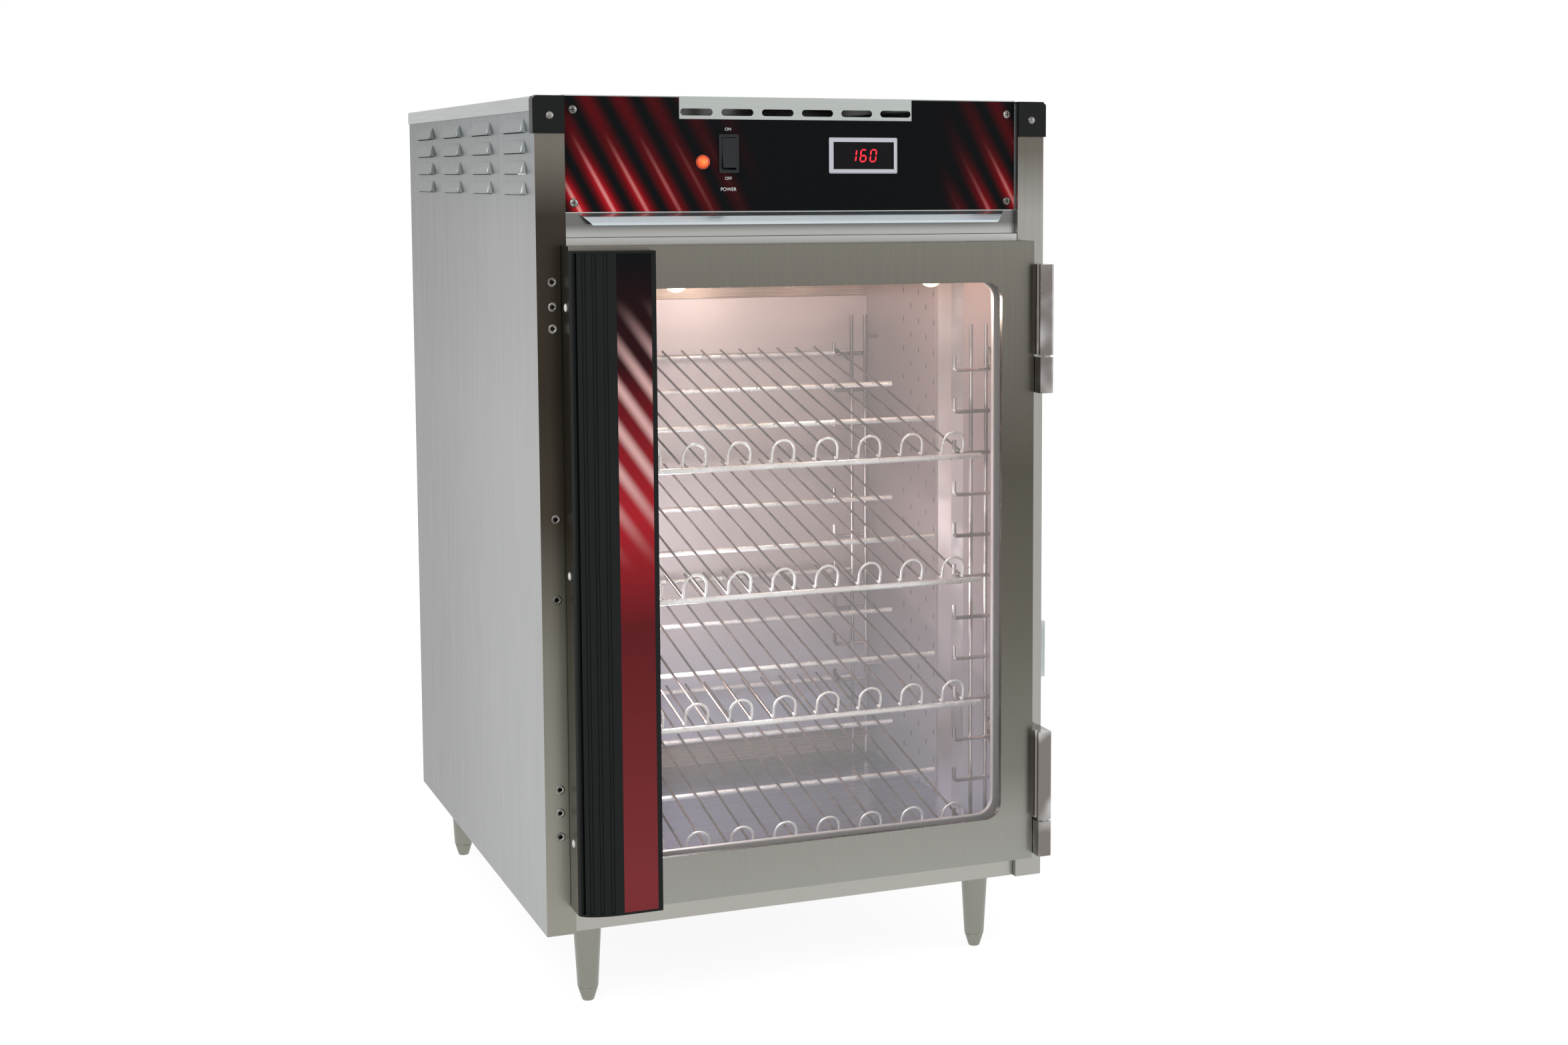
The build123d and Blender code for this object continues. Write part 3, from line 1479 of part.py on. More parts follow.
with BuildPart() as knobs_right:
    with BuildSketch(Plane.YZ.offset(tab_right - tab_thickness - knob_thickness)):
        with Locations(*[(front + knob_depth, base + level) for level in knob_levels]):
            RegularPolygon(knob_radius, knob_sides)
    extrude(amount=knob_thickness)
    chamfer(knobs_right.faces().sort_by(Axis.X)[:2].edges(), knob_chamfer)
    with BuildSketch(Plane.YZ.offset(tab_right - tab_thickness)):
        with Locations(*[(front + knob_depth, base + level) for level in knob_levels]):
            RegularPolygon(knob_stud, 6)
    extrude(amount=right - wall_gap - liner - tab_right + tab_thickness)

with BuildPart() as rack_knobs:
    add(knobs_right.part)
    mirror(knobs_right.part, about=mirror_plane)
save(rack_knobs.part, "rack_knobs")

# Power inlet low on the back, with its pins
inlet_plane = Plane(
    origin=(inlet_x, back - skin - seam, base + inlet_level),
    x_dir=(-1, 0, 0),
    z_dir=(0, 1, 0),
)
with BuildPart() as power_inlet:
    with BuildSketch(inlet_plane):
        RectangleRounded(inlet_width, inlet_height, inlet_corner)
    extrude(amount=skin + seam + inlet_flange)
    with BuildSketch(inlet_plane):
        Rectangle(inlet_body_width - 2 * fit, inlet_body_height - 2 * fit)
    extrude(amount=-inlet_depth)
    with BuildSketch(inlet_plane.offset(skin + seam + inlet_flange)):
        Rectangle(socket_width, socket_opening)
        with Locations(*socket_pins):
            Rectangle(socket_pin_width, socket_pin_height, mode=Mode.SUBTRACT)
    extrude(amount=-socket_deep, mode=Mode.SUBTRACT)
save(power_inlet.part, "power_inlet")
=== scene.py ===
# %% [markdown]
# A heated merchandising cabinet, dressed for a product picture. The shape of nearly every piece
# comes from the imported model. This lesson adds what that model keeps plain: the finishes, the
# round wires, small screws and lenses, the display's digits, and the studio around them.

import bmesh
import bpy
import numpy as np
from mathutils import Matrix, Vector


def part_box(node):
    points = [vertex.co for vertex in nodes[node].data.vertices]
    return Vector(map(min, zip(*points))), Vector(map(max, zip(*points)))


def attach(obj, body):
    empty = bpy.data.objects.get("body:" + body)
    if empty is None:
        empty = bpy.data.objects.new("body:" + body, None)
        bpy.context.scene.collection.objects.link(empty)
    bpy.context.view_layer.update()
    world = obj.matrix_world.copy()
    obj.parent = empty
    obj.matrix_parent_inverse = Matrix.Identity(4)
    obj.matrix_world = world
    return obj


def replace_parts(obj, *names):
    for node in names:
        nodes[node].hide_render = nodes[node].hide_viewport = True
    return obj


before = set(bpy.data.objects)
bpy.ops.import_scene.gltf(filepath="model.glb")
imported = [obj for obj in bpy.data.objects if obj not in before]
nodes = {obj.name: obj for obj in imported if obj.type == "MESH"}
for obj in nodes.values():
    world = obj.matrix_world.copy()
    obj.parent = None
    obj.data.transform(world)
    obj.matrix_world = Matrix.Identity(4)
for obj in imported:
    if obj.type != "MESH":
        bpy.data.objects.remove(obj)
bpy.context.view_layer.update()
print("pieces in the model:", len(nodes))

# %% [markdown]
# The picture is taken from the left and a little above. A camera could be pointed at the object by
# a constraint, but a solved view is exact only when its three directions are written out. They
# come from the turn and the tilt, and the sensor shift stands in for the cropping of the picture.

# %% Camera
TURN, TILT = np.radians(-23.05), np.radians(5.52)
CAMERA_PLACE = (-0.8044, -2.5414, 0.8527)
LENS_LENGTH, SENSOR_WIDTH, SHIFT_ACROSS, SHIFT_UP = 53.02, 36.0, -0.0952, -0.0782


def add_object(name, data):
    """Puts a new object with this data into the scene."""
    made = bpy.data.objects.new(name, data)
    bpy.context.collection.objects.link(made)
    return made


camera_back = np.array([np.sin(TURN) * np.cos(TILT), -np.cos(TURN) * np.cos(TILT), np.sin(TILT)])
camera_right = np.array([np.cos(TURN), np.sin(TURN), 0.0])
camera_up = np.cross(camera_back, camera_right)
camera_data = bpy.data.cameras.new("camera")
camera_data.lens, camera_data.sensor_width = LENS_LENGTH, SENSOR_WIDTH
camera_data.shift_x, camera_data.shift_y = SHIFT_ACROSS, SHIFT_UP
camera = add_object("camera", camera_data)
pose = np.eye(4)
pose[:3] = np.stack([camera_right, camera_up, camera_back, CAMERA_PLACE], 1)
camera.matrix_world = Matrix(pose.tolist())
bpy.context.scene.camera = camera
print("camera", camera.location)

# %% [markdown]
# Every finish is a small graph of shader nodes. Three helpers keep the graphs short: one adds a
# node, one does arithmetic on a value that varies over the surface, and one carries such a value
# from one range to another.

# %% Node helpers
def add_node(tree, kind, values=None, **settings):
    """Adds a shader node. Values go into its sockets: a socket is linked, a number is set."""
    made = tree.nodes.new(kind)
    for key, value in settings.items():
        setattr(made, key, value)
    for socket, value in (values or {}).items():
        if isinstance(value, bpy.types.NodeSocket):
            tree.links.new(value, made.inputs[socket])
        else:
            made.inputs[socket].default_value = value
    return made


def compute(tree, operation, first, second=0.0, third=0.0):
    """Returns the output of one Math node."""
    values = {0: first, 1: second, 2: third}
    return add_node(tree, "ShaderNodeMath", values, operation=operation).outputs[0]


def remap(tree, value, low, high, to_low=0.0, to_high=1.0, kind="SMOOTHSTEP"):
    """Carries the range low..high to to_low..to_high without overshoot."""
    values = {0: value, 1: low, 2: high, 3: to_low, 4: to_high}
    return add_node(tree, "ShaderNodeMapRange", values, interpolation_type=kind).outputs[0]


# %% [markdown]
# Colours need three more: a ramp turns a value into colours, and the other two blend colours or
# shade them.

# %% Colour helpers
def ramp(tree, factor, stops):
    """Turns a value from 0 to 1 into a colour; stops are (place, (r, g, b))."""
    made = add_node(tree, "ShaderNodeValToRGB", {0: factor})
    while len(made.color_ramp.elements) < len(stops):
        made.color_ramp.elements.new(0.5)
    for element, (place, colour) in zip(made.color_ramp.elements, stops):
        element.position = place
        element.color = (*colour, 1.0)
    return made.outputs[0]


def mix_colours(tree, factor, first, second, kind="MIX"):
    """Blends two colours by a factor; kind is the blending."""
    made = add_node(tree, "ShaderNodeMix", {0: factor}, data_type="RGBA", blend_type=kind)
    for socket, value in ((6, first), (7, second)):
        if isinstance(value, bpy.types.NodeSocket):
            tree.links.new(value, made.inputs[socket])
        else:
            made.inputs[socket].default_value = (*value, 1.0)
    return made.outputs[2]


def shaded(tree, colour, level):
    """A colour made darker or lighter by a level that varies over the surface."""
    grey = add_node(tree, "ShaderNodeCombineColor", {0: level, 1: level, 2: level}).outputs[0]
    return mix_colours(tree, 1.0, colour, grey, "MULTIPLY")


# %% [markdown]
# A finish starts from one main shader. Its unevenness comes from noise in the object's own
# coordinates, so it stays put when a door swings. Noise mostly lies between 0.3 and 0.7.

# %% Finish helpers
NOISE_LOW, NOISE_HIGH = 0.3, 0.7


def new_finish(name, **sockets):
    """A material with its main shader; constant values are set on the shader's own sockets."""
    made = bpy.data.materials.new(name)
    made.use_nodes = True
    shader = made.node_tree.nodes["Principled BSDF"]
    for socket, value in sockets.items():
        socket = socket.replace("_", " ")
        shader.inputs[socket].default_value = (*value, 1.0) if isinstance(value, tuple) else value
    return made, made.node_tree, shader


def places(tree):
    """The object's own coordinates, whole and split into x, y and z, in metres."""
    made = add_node(tree, "ShaderNodeTexCoord")
    split = add_node(tree, "ShaderNodeSeparateXYZ", {0: made.outputs["Object"]})
    return made.outputs["Object"], split.outputs


def noise(tree, coords, scale, detail=2.0):
    """Uneven value around 0.5; a larger scale gives finer grain."""
    values = {"Vector": coords, "Scale": scale, "Detail": detail}
    return add_node(tree, "ShaderNodeTexNoise", values).outputs[0]


def vary_roughness(tree, shader, value, low, high):
    """Lets a noise value carry the roughness from low to high."""
    rough_here = remap(tree, value, NOISE_LOW, NOISE_HIGH, low, high)
    tree.links.new(rough_here, shader.inputs["Roughness"])


def add_bump(tree, shader, height, strength, depth):
    """Tilts the surface by an uneven height; depth is in metres."""
    values = {"Strength": strength, "Distance": depth, "Height": height}
    bump = add_node(tree, "ShaderNodeBump", values)
    tree.links.new(bump.outputs[0], shader.inputs["Normal"])


def finish_nodes(material, *names):
    """Gives a finish to pieces of the model."""
    for name in names:
        nodes[name].material_slots[0].material = material


# %% [markdown]
# Stainless sheet carries thousands of fine scratches, all in one direction, left by an abrasive
# belt. Noise stretched far along that direction gives the same look. It nudges the colour, the
# roughness and a very shallow bump together, because on real metal all three have one cause.

# %% Brushed steel
ALONG_X, ALONG_Y, ALONG_Z = 0, 1, 2
ACROSS_SCRATCHES, ALONG_SCRATCHES, SCRATCH_DETAIL = 1100.0, 9.0, 4.0
SCRATCH_STRENGTH, SCRATCH_DEPTH = 0.12, 0.0002
PATCH_SCALE, ROUGH_SPREAD = 3.5, 0.05


def brushed_steel(name, tone_or_painted_light, rough, along, contrast=0.1, metal=1.0):
    """Steel whose scratches run along one axis.
    The tone is a colour or a function of the tree that returns one; on some sheets it carries painted
    reflections and painted shade."""
    material, tree, shader = new_finish(name, Metallic=metal)
    coords, _ = places(tree)
    stretch = [ACROSS_SCRATCHES] * 3
    stretch[along] = ALONG_SCRATCHES
    scaled = add_node(tree, "ShaderNodeMapping", {0: coords, 3: stretch}).outputs[0]
    grain = noise(tree, scaled, 1.0, SCRATCH_DETAIL)
    patches = noise(tree, coords, PATCH_SCALE)
    base = tone_or_painted_light(tree) if callable(tone_or_painted_light) else tone_or_painted_light
    level = compute(tree, "MULTIPLY_ADD", grain, contrast, 1.0 - contrast)
    level = compute(tree, "MULTIPLY_ADD", patches, contrast, level)
    tree.links.new(shaded(tree, base, level), shader.inputs["Base Color"])
    vary_roughness(tree, shader, grain, rough - ROUGH_SPREAD, rough + ROUGH_SPREAD)
    add_bump(tree, shader, grain, SCRATCH_STRENGTH, SCRATCH_DEPTH)
    return material


# %% [markdown]
# Large steel sheets show the room around them as soft bands. The studio here is plain white, so the bands
# are painted reflections and painted shade in the colour: each sheet has its own run of painted light from
# its foot to its top.
# A stop of a run is a height from 0 to 1 and a colour.

# %% Painted reflections on the sheets
POST_FACE = -0.3064  # in front of this plane lie the folded posts
SHEET_FOOT, SHEET_TOP, SHEET_BACK, SHEET_FRONT = 0.1, 0.93, 0.35, -0.3
SHADE_BACK, SHADE_FRONT = 0.74, 1.27
DOOR_FOOT, DOOR_TOP, BAND_TOP, BAND_FOOT = 0.12, 0.78, 0.806, 0.795
SHEET_PAINTED_REFLECTIONS = [
    (0.0, (0.27, 0.28, 0.275)), (0.6, (0.28, 0.285, 0.283)),
    (0.84, (0.23, 0.235, 0.23)), (1.0, (0.13, 0.145, 0.15)),
]
LEFT_POST_PAINTED_LIGHT = [
    (0.0, (0.3, 0.29, 0.25)), (0.32, (0.21, 0.2, 0.165)), (0.5, (0.06, 0.05, 0.038)),
    (0.65, (0.04, 0.033, 0.024)), (0.86, (0.045, 0.038, 0.03)), (0.94, (0.17, 0.155, 0.13)),
]
RIGHT_POST_PAINTED_LIGHT = [
    (0.0, (0.38, 0.375, 0.355)), (0.86, (0.32, 0.31, 0.29)), (0.94, (0.135, 0.125, 0.105)),
]
DOOR_PAINTED_REFLECTIONS = [
    (0.0, (0.3, 0.3, 0.275)), (0.07, (0.28, 0.275, 0.25)), (0.15, (0.185, 0.18, 0.157)),
    (0.38, (0.125, 0.118, 0.095)), (0.64, (0.09, 0.084, 0.068)), (0.87, (0.155, 0.145, 0.125)),
    (1.0, (0.19, 0.18, 0.155)),
]
BAND_PAINTED_SHADE = [(0.0, (0.17, 0.17, 0.165)), (1.0, (0.44, 0.44, 0.42))]


def side_painted_light(tree):
    """Painted reflections on the side sheets in cool grey, with painted shade that leaves them lighter
    towards the front, and warm painted reflections on the folded posts, the left one in deep painted shade.
    """
    _, (x, y, z) = places(tree)
    height = remap(tree, z, SHEET_FOOT, SHEET_TOP, kind="LINEAR")
    # painted reflection bands up the sheet, and painted shade darker towards the back
    sheet = ramp(tree, height, SHEET_PAINTED_REFLECTIONS)
    sheet = shaded(tree, sheet, remap(tree, y, SHEET_BACK, SHEET_FRONT, SHADE_BACK, SHADE_FRONT))
    # the posts' painted reflections, the left post in deep painted shade
    left_post = ramp(tree, height, LEFT_POST_PAINTED_LIGHT)
    right_post = ramp(tree, height, RIGHT_POST_PAINTED_LIGHT)
    post = mix_colours(tree, compute(tree, "GREATER_THAN", x, 0.0), left_post, right_post)
    return mix_colours(tree, compute(tree, "LESS_THAN", y, POST_FACE), sheet, post)


def door_painted_reflections(tree):
    """Painted reflections on the door's frame in warm grey, lighter towards the lower rail."""
    _, (_, _, z) = places(tree)
    return ramp(tree, remap(tree, z, DOOR_FOOT, DOOR_TOP, kind="LINEAR"), DOOR_PAINTED_REFLECTIONS)


def band_painted_shade(tree):
    """The band under the lip, with the lip's painted shadow darker at its top."""
    _, (_, _, z) = places(tree)
    return ramp(tree, remap(tree, z, BAND_TOP, BAND_FOOT), BAND_PAINTED_SHADE)


# %% [markdown]
# One loop finishes all the sheets. The scratches run upright on the sides and the door, from
# front to back on the top, and across on the narrow pieces.

# %% Outer sheets
# The tone column holds painted reflections and painted shade for the side sheets, the door and the band.
STEEL_FINISHES = [  # name, tone, roughness, direction of the scratches, pieces
    ("side_steel", side_painted_light, 0.33, ALONG_Z, ["left_side_panel", "right_side_panel"]),
    ("door_steel", door_painted_reflections, 0.3, ALONG_Z, ["door_frame"]),
    ("cover_steel", (0.42, 0.43, 0.43), 0.33, ALONG_Y, ["top_cover", "back_panel", "base_pan"]),
    ("panel_steel", (0.45, 0.48, 0.46), 0.28, ALONG_X, ["control_panel"]),
    # the lip's pale blue-grey is a painted reflection, brighter than the band below it
    ("lip_steel", (0.6, 0.66, 0.69), 0.25, ALONG_X, ["header_lip"]),
    ("band_steel", band_painted_shade, 0.28, ALONG_X, ["header_band"]),
    ("rail_steel", (0.4, 0.39, 0.36), 0.3, ALONG_X, ["bottom_rail"]),
    ("bezel_steel", (0.52, 0.53, 0.58), 0.2, ALONG_X, ["display_bezel"]),
    ("galvanised", (0.5, 0.52, 0.52), 0.45, ALONG_X,
     ["heater_element", "blower_housing", "fan_wheel", "back_screws"]),
]
for name, tone_or_painted_light, rough, along, pieces in STEEL_FINISHES:
    finish_nodes(brushed_steel(name, tone_or_painted_light, rough, along), *pieces)
print("steel finishes done")

# %% [markdown]
# Inside, bright sheet steel is lit by two warm lamps, and its pinkish look is painted lamp light in its
# colours, with painted cooler light near the floor. Rows of small slots are punched in the side walls. They
# are far too small to cut one by one, so painted shade darkens the colour where a slot is: the fractional
# part of a coordinate repeats one cell all over the wall.

# %% Inner walls
# The slots' dark colour is painted shade; the runs of colour below are painted lamp light and painted cool
# light.
SLOT_WIDE, SLOT_HIGH, SLOT_PAINTED_SHADE = 0.0026, 0.0062, (0.06, 0.045, 0.04)
SLOT_STEP, SLOT_RISE = 0.0232, 0.035
SLOT_START, SLOT_FOOT, SLOT_COLUMNS = -0.043, 0.1385, 5
WALL_FOOT, WALL_TOP, BACK_LEFT, BACK_RIGHT = 0.15, 0.75, -0.22, 0.25
COOL_PAINTED_LIGHT, COOL_TOP, COOL_FOOT, COOL_SHARE = (0.62, 0.6, 0.7), 0.36, 0.18, 0.8
WALL_PAINTED_LIGHT = [
    (0.0, (0.46, 0.43, 0.48)), (0.4, (0.38, 0.29, 0.29)),
    (0.7, (0.33, 0.24, 0.24)), (1.0, (0.44, 0.32, 0.3)),
]
BACK_PAINTED_LIGHT = [
    (0.0, (0.86, 0.84, 0.85)), (0.32, (0.95, 0.94, 0.97)),
    (0.45, (0.7, 0.61, 0.61)), (1.0, (0.56, 0.46, 0.45)),
]


def slot_field(tree, y, z):
    """1 inside a punched slot, 0 elsewhere; every second column is half a rise lower."""
    across = compute(tree, "DIVIDE", compute(tree, "SUBTRACT", y, SLOT_START), SLOT_STEP)
    column = compute(tree, "FLOOR", compute(tree, "ADD", across, 0.5))
    drop = compute(tree, "MULTIPLY", compute(tree, "MODULO", column, 2.0), 0.5)
    upward = compute(tree, "DIVIDE", compute(tree, "SUBTRACT", z, SLOT_FOOT), SLOT_RISE)
    upward = compute(tree, "FRACT", compute(tree, "ADD", upward, drop))
    off_y = compute(tree, "ABSOLUTE", compute(tree, "SUBTRACT", across, column))
    off_z = compute(tree, "ABSOLUTE", compute(tree, "SUBTRACT", upward, 0.5))
    inside = compute(tree, "LESS_THAN", off_y, SLOT_WIDE / SLOT_STEP / 2)
    for operation, value, limit in (
        ("LESS_THAN", off_z, SLOT_HIGH / SLOT_RISE / 2),
        ("GREATER_THAN", across, -0.5),
        ("LESS_THAN", across, SLOT_COLUMNS - 0.5),
    ):
        inside = compute(tree, "MULTIPLY", inside, compute(tree, operation, value, limit))
    return inside


def wall_painted_light(tree):
    """Sheet with painted warm lamp light above and painted cooler light below, with rows of slots in painted
    shade.
    """
    _, (_, y, z) = places(tree)
    sheet = ramp(tree, remap(tree, z, WALL_FOOT, WALL_TOP, kind="LINEAR"), WALL_PAINTED_LIGHT)
    return mix_colours(tree, slot_field(tree, y, z), sheet, SLOT_PAINTED_SHADE)


def back_painted_light(tree):
    """Painted lamp light on the back of the cavity: palest left of the middle, pinkish at the right, with
    painted cooler light near the floor.
    """
    _, (x, _, z) = places(tree)
    sheet = ramp(tree, remap(tree, x, BACK_LEFT, BACK_RIGHT, kind="LINEAR"), BACK_PAINTED_LIGHT)
    return mix_colours(tree, remap(tree, z, COOL_TOP, COOL_FOOT, 0.0, COOL_SHARE), sheet, COOL_PAINTED_LIGHT)


# %% [markdown]
# Most inner sheets are less of a mirror than the outer ones: half metal keeps them bright where
# they would only reflect each other.

# %% Inner sheets
# The tone column holds painted lamp light for the walls and the back, and the pinkish tints of the ceiling
# and the inner frame are painted lamp light too.
INNER_FINISHES = [  # name, tone, roughness, direction of the scratches, contrast, metal, pieces
    ("wall_steel", wall_painted_light, 0.4, ALONG_Z, 0.06, 0.5, ["liner_left", "liner_right"]),
    ("back_sheet", back_painted_light, 0.4, ALONG_Z, 0.06, 0.5, ["duct_cover"]),
    ("ceiling_sheet", (0.42, 0.33, 0.28), 0.3, ALONG_X, 0.06, 0.5, ["liner_ceiling", "liner_back"]),
    ("jamb_sheet", (0.5, 0.5, 0.48), 0.35, ALONG_Z, 0.06, 1.0, ["door_jamb"]),
    ("bright_sheet", (0.72, 0.66, 0.64), 0.4, ALONG_Z, 0.06, 0.5, ["door_inner_frame", "glass_spacer"]),
    ("floor_sheet", (0.44, 0.43, 0.53), 0.25, ALONG_X, 0.1, 1.0, ["liner_floor"]),
]
for name, tone_or_painted_light, rough, along, contrast, metal, pieces in INNER_FINISHES:
    finish_nodes(brushed_steel(name, tone_or_painted_light, rough, along, contrast, metal), *pieces)
print("inner walls done")

# %% [markdown]
# Chrome is a mirror, and what tells the eye so is the dark and light of a room in it. In a white studio,
# broad clouds of two tones are a painted reflection of that room, and a fine haze dulls the mirror.

# %% Chrome
CLOUD_LOW, CLOUD_HIGH = 0.42, 0.6
HAZE_SCALE, HAZE_DETAIL, HAZE_LOW, HAZE_HIGH, HAZE_SPREAD = 60.0, 3.0, 0.35, 0.75, 0.12


def chrome(name, light, dark, rough, scale=14.0, metal=1.0):
    """A mirror-like plating with a painted reflection in clouds of two tones; less metal gives a milkier
    look.
    """
    material, tree, shader = new_finish(name, Metallic=metal)
    coords, _ = places(tree)
    # the clouds are a painted reflection of a room
    clouds = remap(tree, noise(tree, coords, scale), CLOUD_LOW, CLOUD_HIGH)
    tree.links.new(mix_colours(tree, clouds, dark, light), shader.inputs["Base Color"])
    haze = noise(tree, coords, HAZE_SCALE, HAZE_DETAIL)
    rough_here = remap(tree, haze, HAZE_LOW, HAZE_HIGH, rough, rough + HAZE_SPREAD)
    tree.links.new(rough_here, shader.inputs["Roughness"])
    return material


# Each pair of tones is a painted reflection; the warm pairs paint the glow of the lamps inside.
chrome_plate = chrome("chrome_plate", (0.55, 0.54, 0.53), (0.2, 0.18, 0.17), 0.08)
# a bright painted reflection of the lamps for the rods, and a dark painted reflection of the cavity for the
# runs
rod_chrome_painted_lit = chrome("rod_chrome_painted_lit", (0.95, 0.94, 0.93), (0.8, 0.75, 0.73), 0.22, metal=0.45)
run_chrome_painted_dark = chrome("run_chrome_painted_dark", (0.27, 0.175, 0.15), (0.1, 0.06, 0.05), 0.2)
rack_chrome = chrome("rack_chrome", (0.72, 0.64, 0.62), (0.3, 0.23, 0.22), 0.12)
dark_steel = chrome("dark_steel", (0.3, 0.29, 0.27), (0.14, 0.13, 0.12), 0.25, scale=90.0)
cleat_chrome = chrome("cleat_chrome", (0.5, 0.54, 0.54), (0.38, 0.42, 0.42), 0.2)
channel_chrome = chrome("channel_chrome", (0.98, 0.94, 0.93), (0.8, 0.72, 0.7), 0.28, scale=5.0)
finish_nodes(chrome_plate, "hinge_frame_leaves", "hinge_door_leaves", "air_probe")
finish_nodes(cleat_chrome, "side_cleat")
finish_nodes(channel_chrome, "wall_channels")
print("chrome done")

# %% [markdown]
# Black mouldings are never pure black. A fine grain from the mould breaks up the gloss, and the
# bump is what shows, not the colour.

# %% Plastics and rubber
PEBBLE_DEPTH, SMOOTHER, ROUGHER = 0.0001, 0.04, 0.06


def moulded(name, colour, rough, grain=2600.0, strength=0.15, gloss=0.5):
    """Moulded plastic with a fine pebbled surface; gloss is how strongly it mirrors."""
    material, tree, shader = new_finish(name, Base_Color=colour, Specular_IOR_Level=gloss)
    coords, _ = places(tree)
    pebbles = noise(tree, coords, grain)
    add_bump(tree, shader, pebbles, strength, PEBBLE_DEPTH)
    vary_roughness(tree, shader, pebbles, rough - SMOOTHER, rough + ROUGHER)
    return material


MOULDED_FINISHES = [  # name, colour, roughness, what departs from a common moulding, pieces
    ("cap_black", (0.005, 0.006, 0.006), 0.36, {"gloss": 0.16}, ["corner_caps"]),
    ("handle_black", (0.006, 0.008, 0.008), 0.32, {"gloss": 0.16}, ["handle", "handle_caps"]),
    ("fitting_black", (0.014, 0.017, 0.018), 0.38, {}, ["power_inlet", "display_module"]),
    ("switch_black", (0.012, 0.014, 0.016), 0.2, {"gloss": 0.3}, ["switch_frame", "switch_rocker"]),
    ("window_smoke", (0.004, 0.003, 0.005), 0.06, {"grain": 40.0, "strength": 0.02, "gloss": 0.12},
     ["display_window"]),
    ("motor_black", (0.03, 0.03, 0.032), 0.5, {}, ["blower_motor"]),
    ("gasket_rubber", (0.03, 0.03, 0.03), 0.6, {"grain": 900.0, "strength": 0.3}, ["door_gasket"]),
    ("lamp_ceramic", (0.8, 0.78, 0.74), 0.25, {"grain": 300.0, "strength": 0.05}, ["lamp_sockets"]),
    ("mineral_wool", (0.5, 0.42, 0.2), 0.95, {"grain": 500.0, "strength": 1.0}, ["side_insulation"]),
]
for name, colour, rough, special, pieces in MOULDED_FINISHES:
    finish_nodes(moulded(name, colour, rough, **special), *pieces)
white_moulding = moulded("white_moulding", (0.82, 0.82, 0.8), 0.4)
finish_nodes(white_moulding, "hinge_washers")
print("plastics done")

# %% [markdown]
# Glass could be a refracting solid, but then no lamp light crosses it without much noise. A thin,
# nearly clear shader lets light straight through and still shows reflections. The wipe marks of a
# cloth give its gloss a little unevenness.

# %% Glass
WIPE_SCALE, WIPE_DETAIL, WIPED, UNWIPED = 9.0, 3.0, 0.02, 0.08
pane, pane_tree, pane_shader = new_finish("door_glass", Base_Color=(0.86, 0.9, 0.89), Alpha=0.06)
wipes = noise(pane_tree, places(pane_tree)[0], WIPE_SCALE, WIPE_DETAIL)
vary_roughness(pane_tree, pane_shader, wipes, WIPED, UNWIPED)
finish_nodes(pane, "door_glass")
print("glass done")

# %% [markdown]
# The printed film on the control panel is gloss black with a design in red. This design is made
# for the cabinet: slanted bars that fade in from both ends, over a dark red glow. A bar is the
# distance from the nearest line of a slanted set, sharpened by a smooth step.

# %% Printed films
BLACK_INK, DEEP_RED, BRIGHT_RED = (0.004, 0.005, 0.006), (0.13, 0.004, 0.007), (0.6, 0.015, 0.025)
PALE_CORE, PALE_BAR = (0.95, 0.42, 0.4), (0.85, 0.52, 0.5)
BAR_PITCH, BAR_SLANT, BAR_WIDTH, CORE_WIDTH = 0.034, 0.55, 0.45, 0.1
STRIP_PITCH, STRIP_SLANT, STRIP_WIDTH = 0.042, 1.4, 0.36
LEFT_FADE, RIGHT_FADE, LOWER_FADE = (-0.03, -0.23), (0.15, 0.25), (0.9, 0.82)
UPPER_START, LOWER_START, STRIP_ENDS = (0.74, 0.64), (0.46, 0.58), (0.78, 0.16)
STRIP_TONES = [
    (0.0, BLACK_INK), (0.18, (0.03, 0.006, 0.008)), (0.42, (0.45, 0.02, 0.03)),
    (0.6, (0.13, 0.015, 0.018)), (1.0, (0.23, 0.035, 0.04)),
]
RIGHT_SHARE, UPPER_SHARE, LOWER_SHARE, CORE_SHARE, STRIP_SHARE = 0.8, 0.3, 0.7, 0.8, 0.85
FILM_GLOSS, PEEL_SCALE, PEEL_SPREAD = 0.05, 220.0, 0.04


def slanted_bars(tree, across, upward, pitch, slant, width):
    """1 on the middle of a bar, 0 between bars; bars lean by slant and stand pitch apart."""
    run = compute(tree, "DIVIDE", compute(tree, "MULTIPLY_ADD", upward, slant, across), pitch)
    off = compute(tree, "ABSOLUTE", compute(tree, "SUBTRACT", compute(tree, "FRACT", run), 0.5))
    return remap(tree, off, width, 0.0)


def printed_film(name, colour_of, rough):
    """Gloss film whose print is given by colour_of(tree), with a faint orange-peel unevenness."""
    material, tree, shader = new_finish(name, Specular_IOR_Level=FILM_GLOSS)
    tree.links.new(colour_of(tree), shader.inputs["Base Color"])
    peel = noise(tree, places(tree)[0], PEEL_SCALE)
    vary_roughness(tree, shader, peel, rough - PEEL_SPREAD, rough + PEEL_SPREAD)
    return material


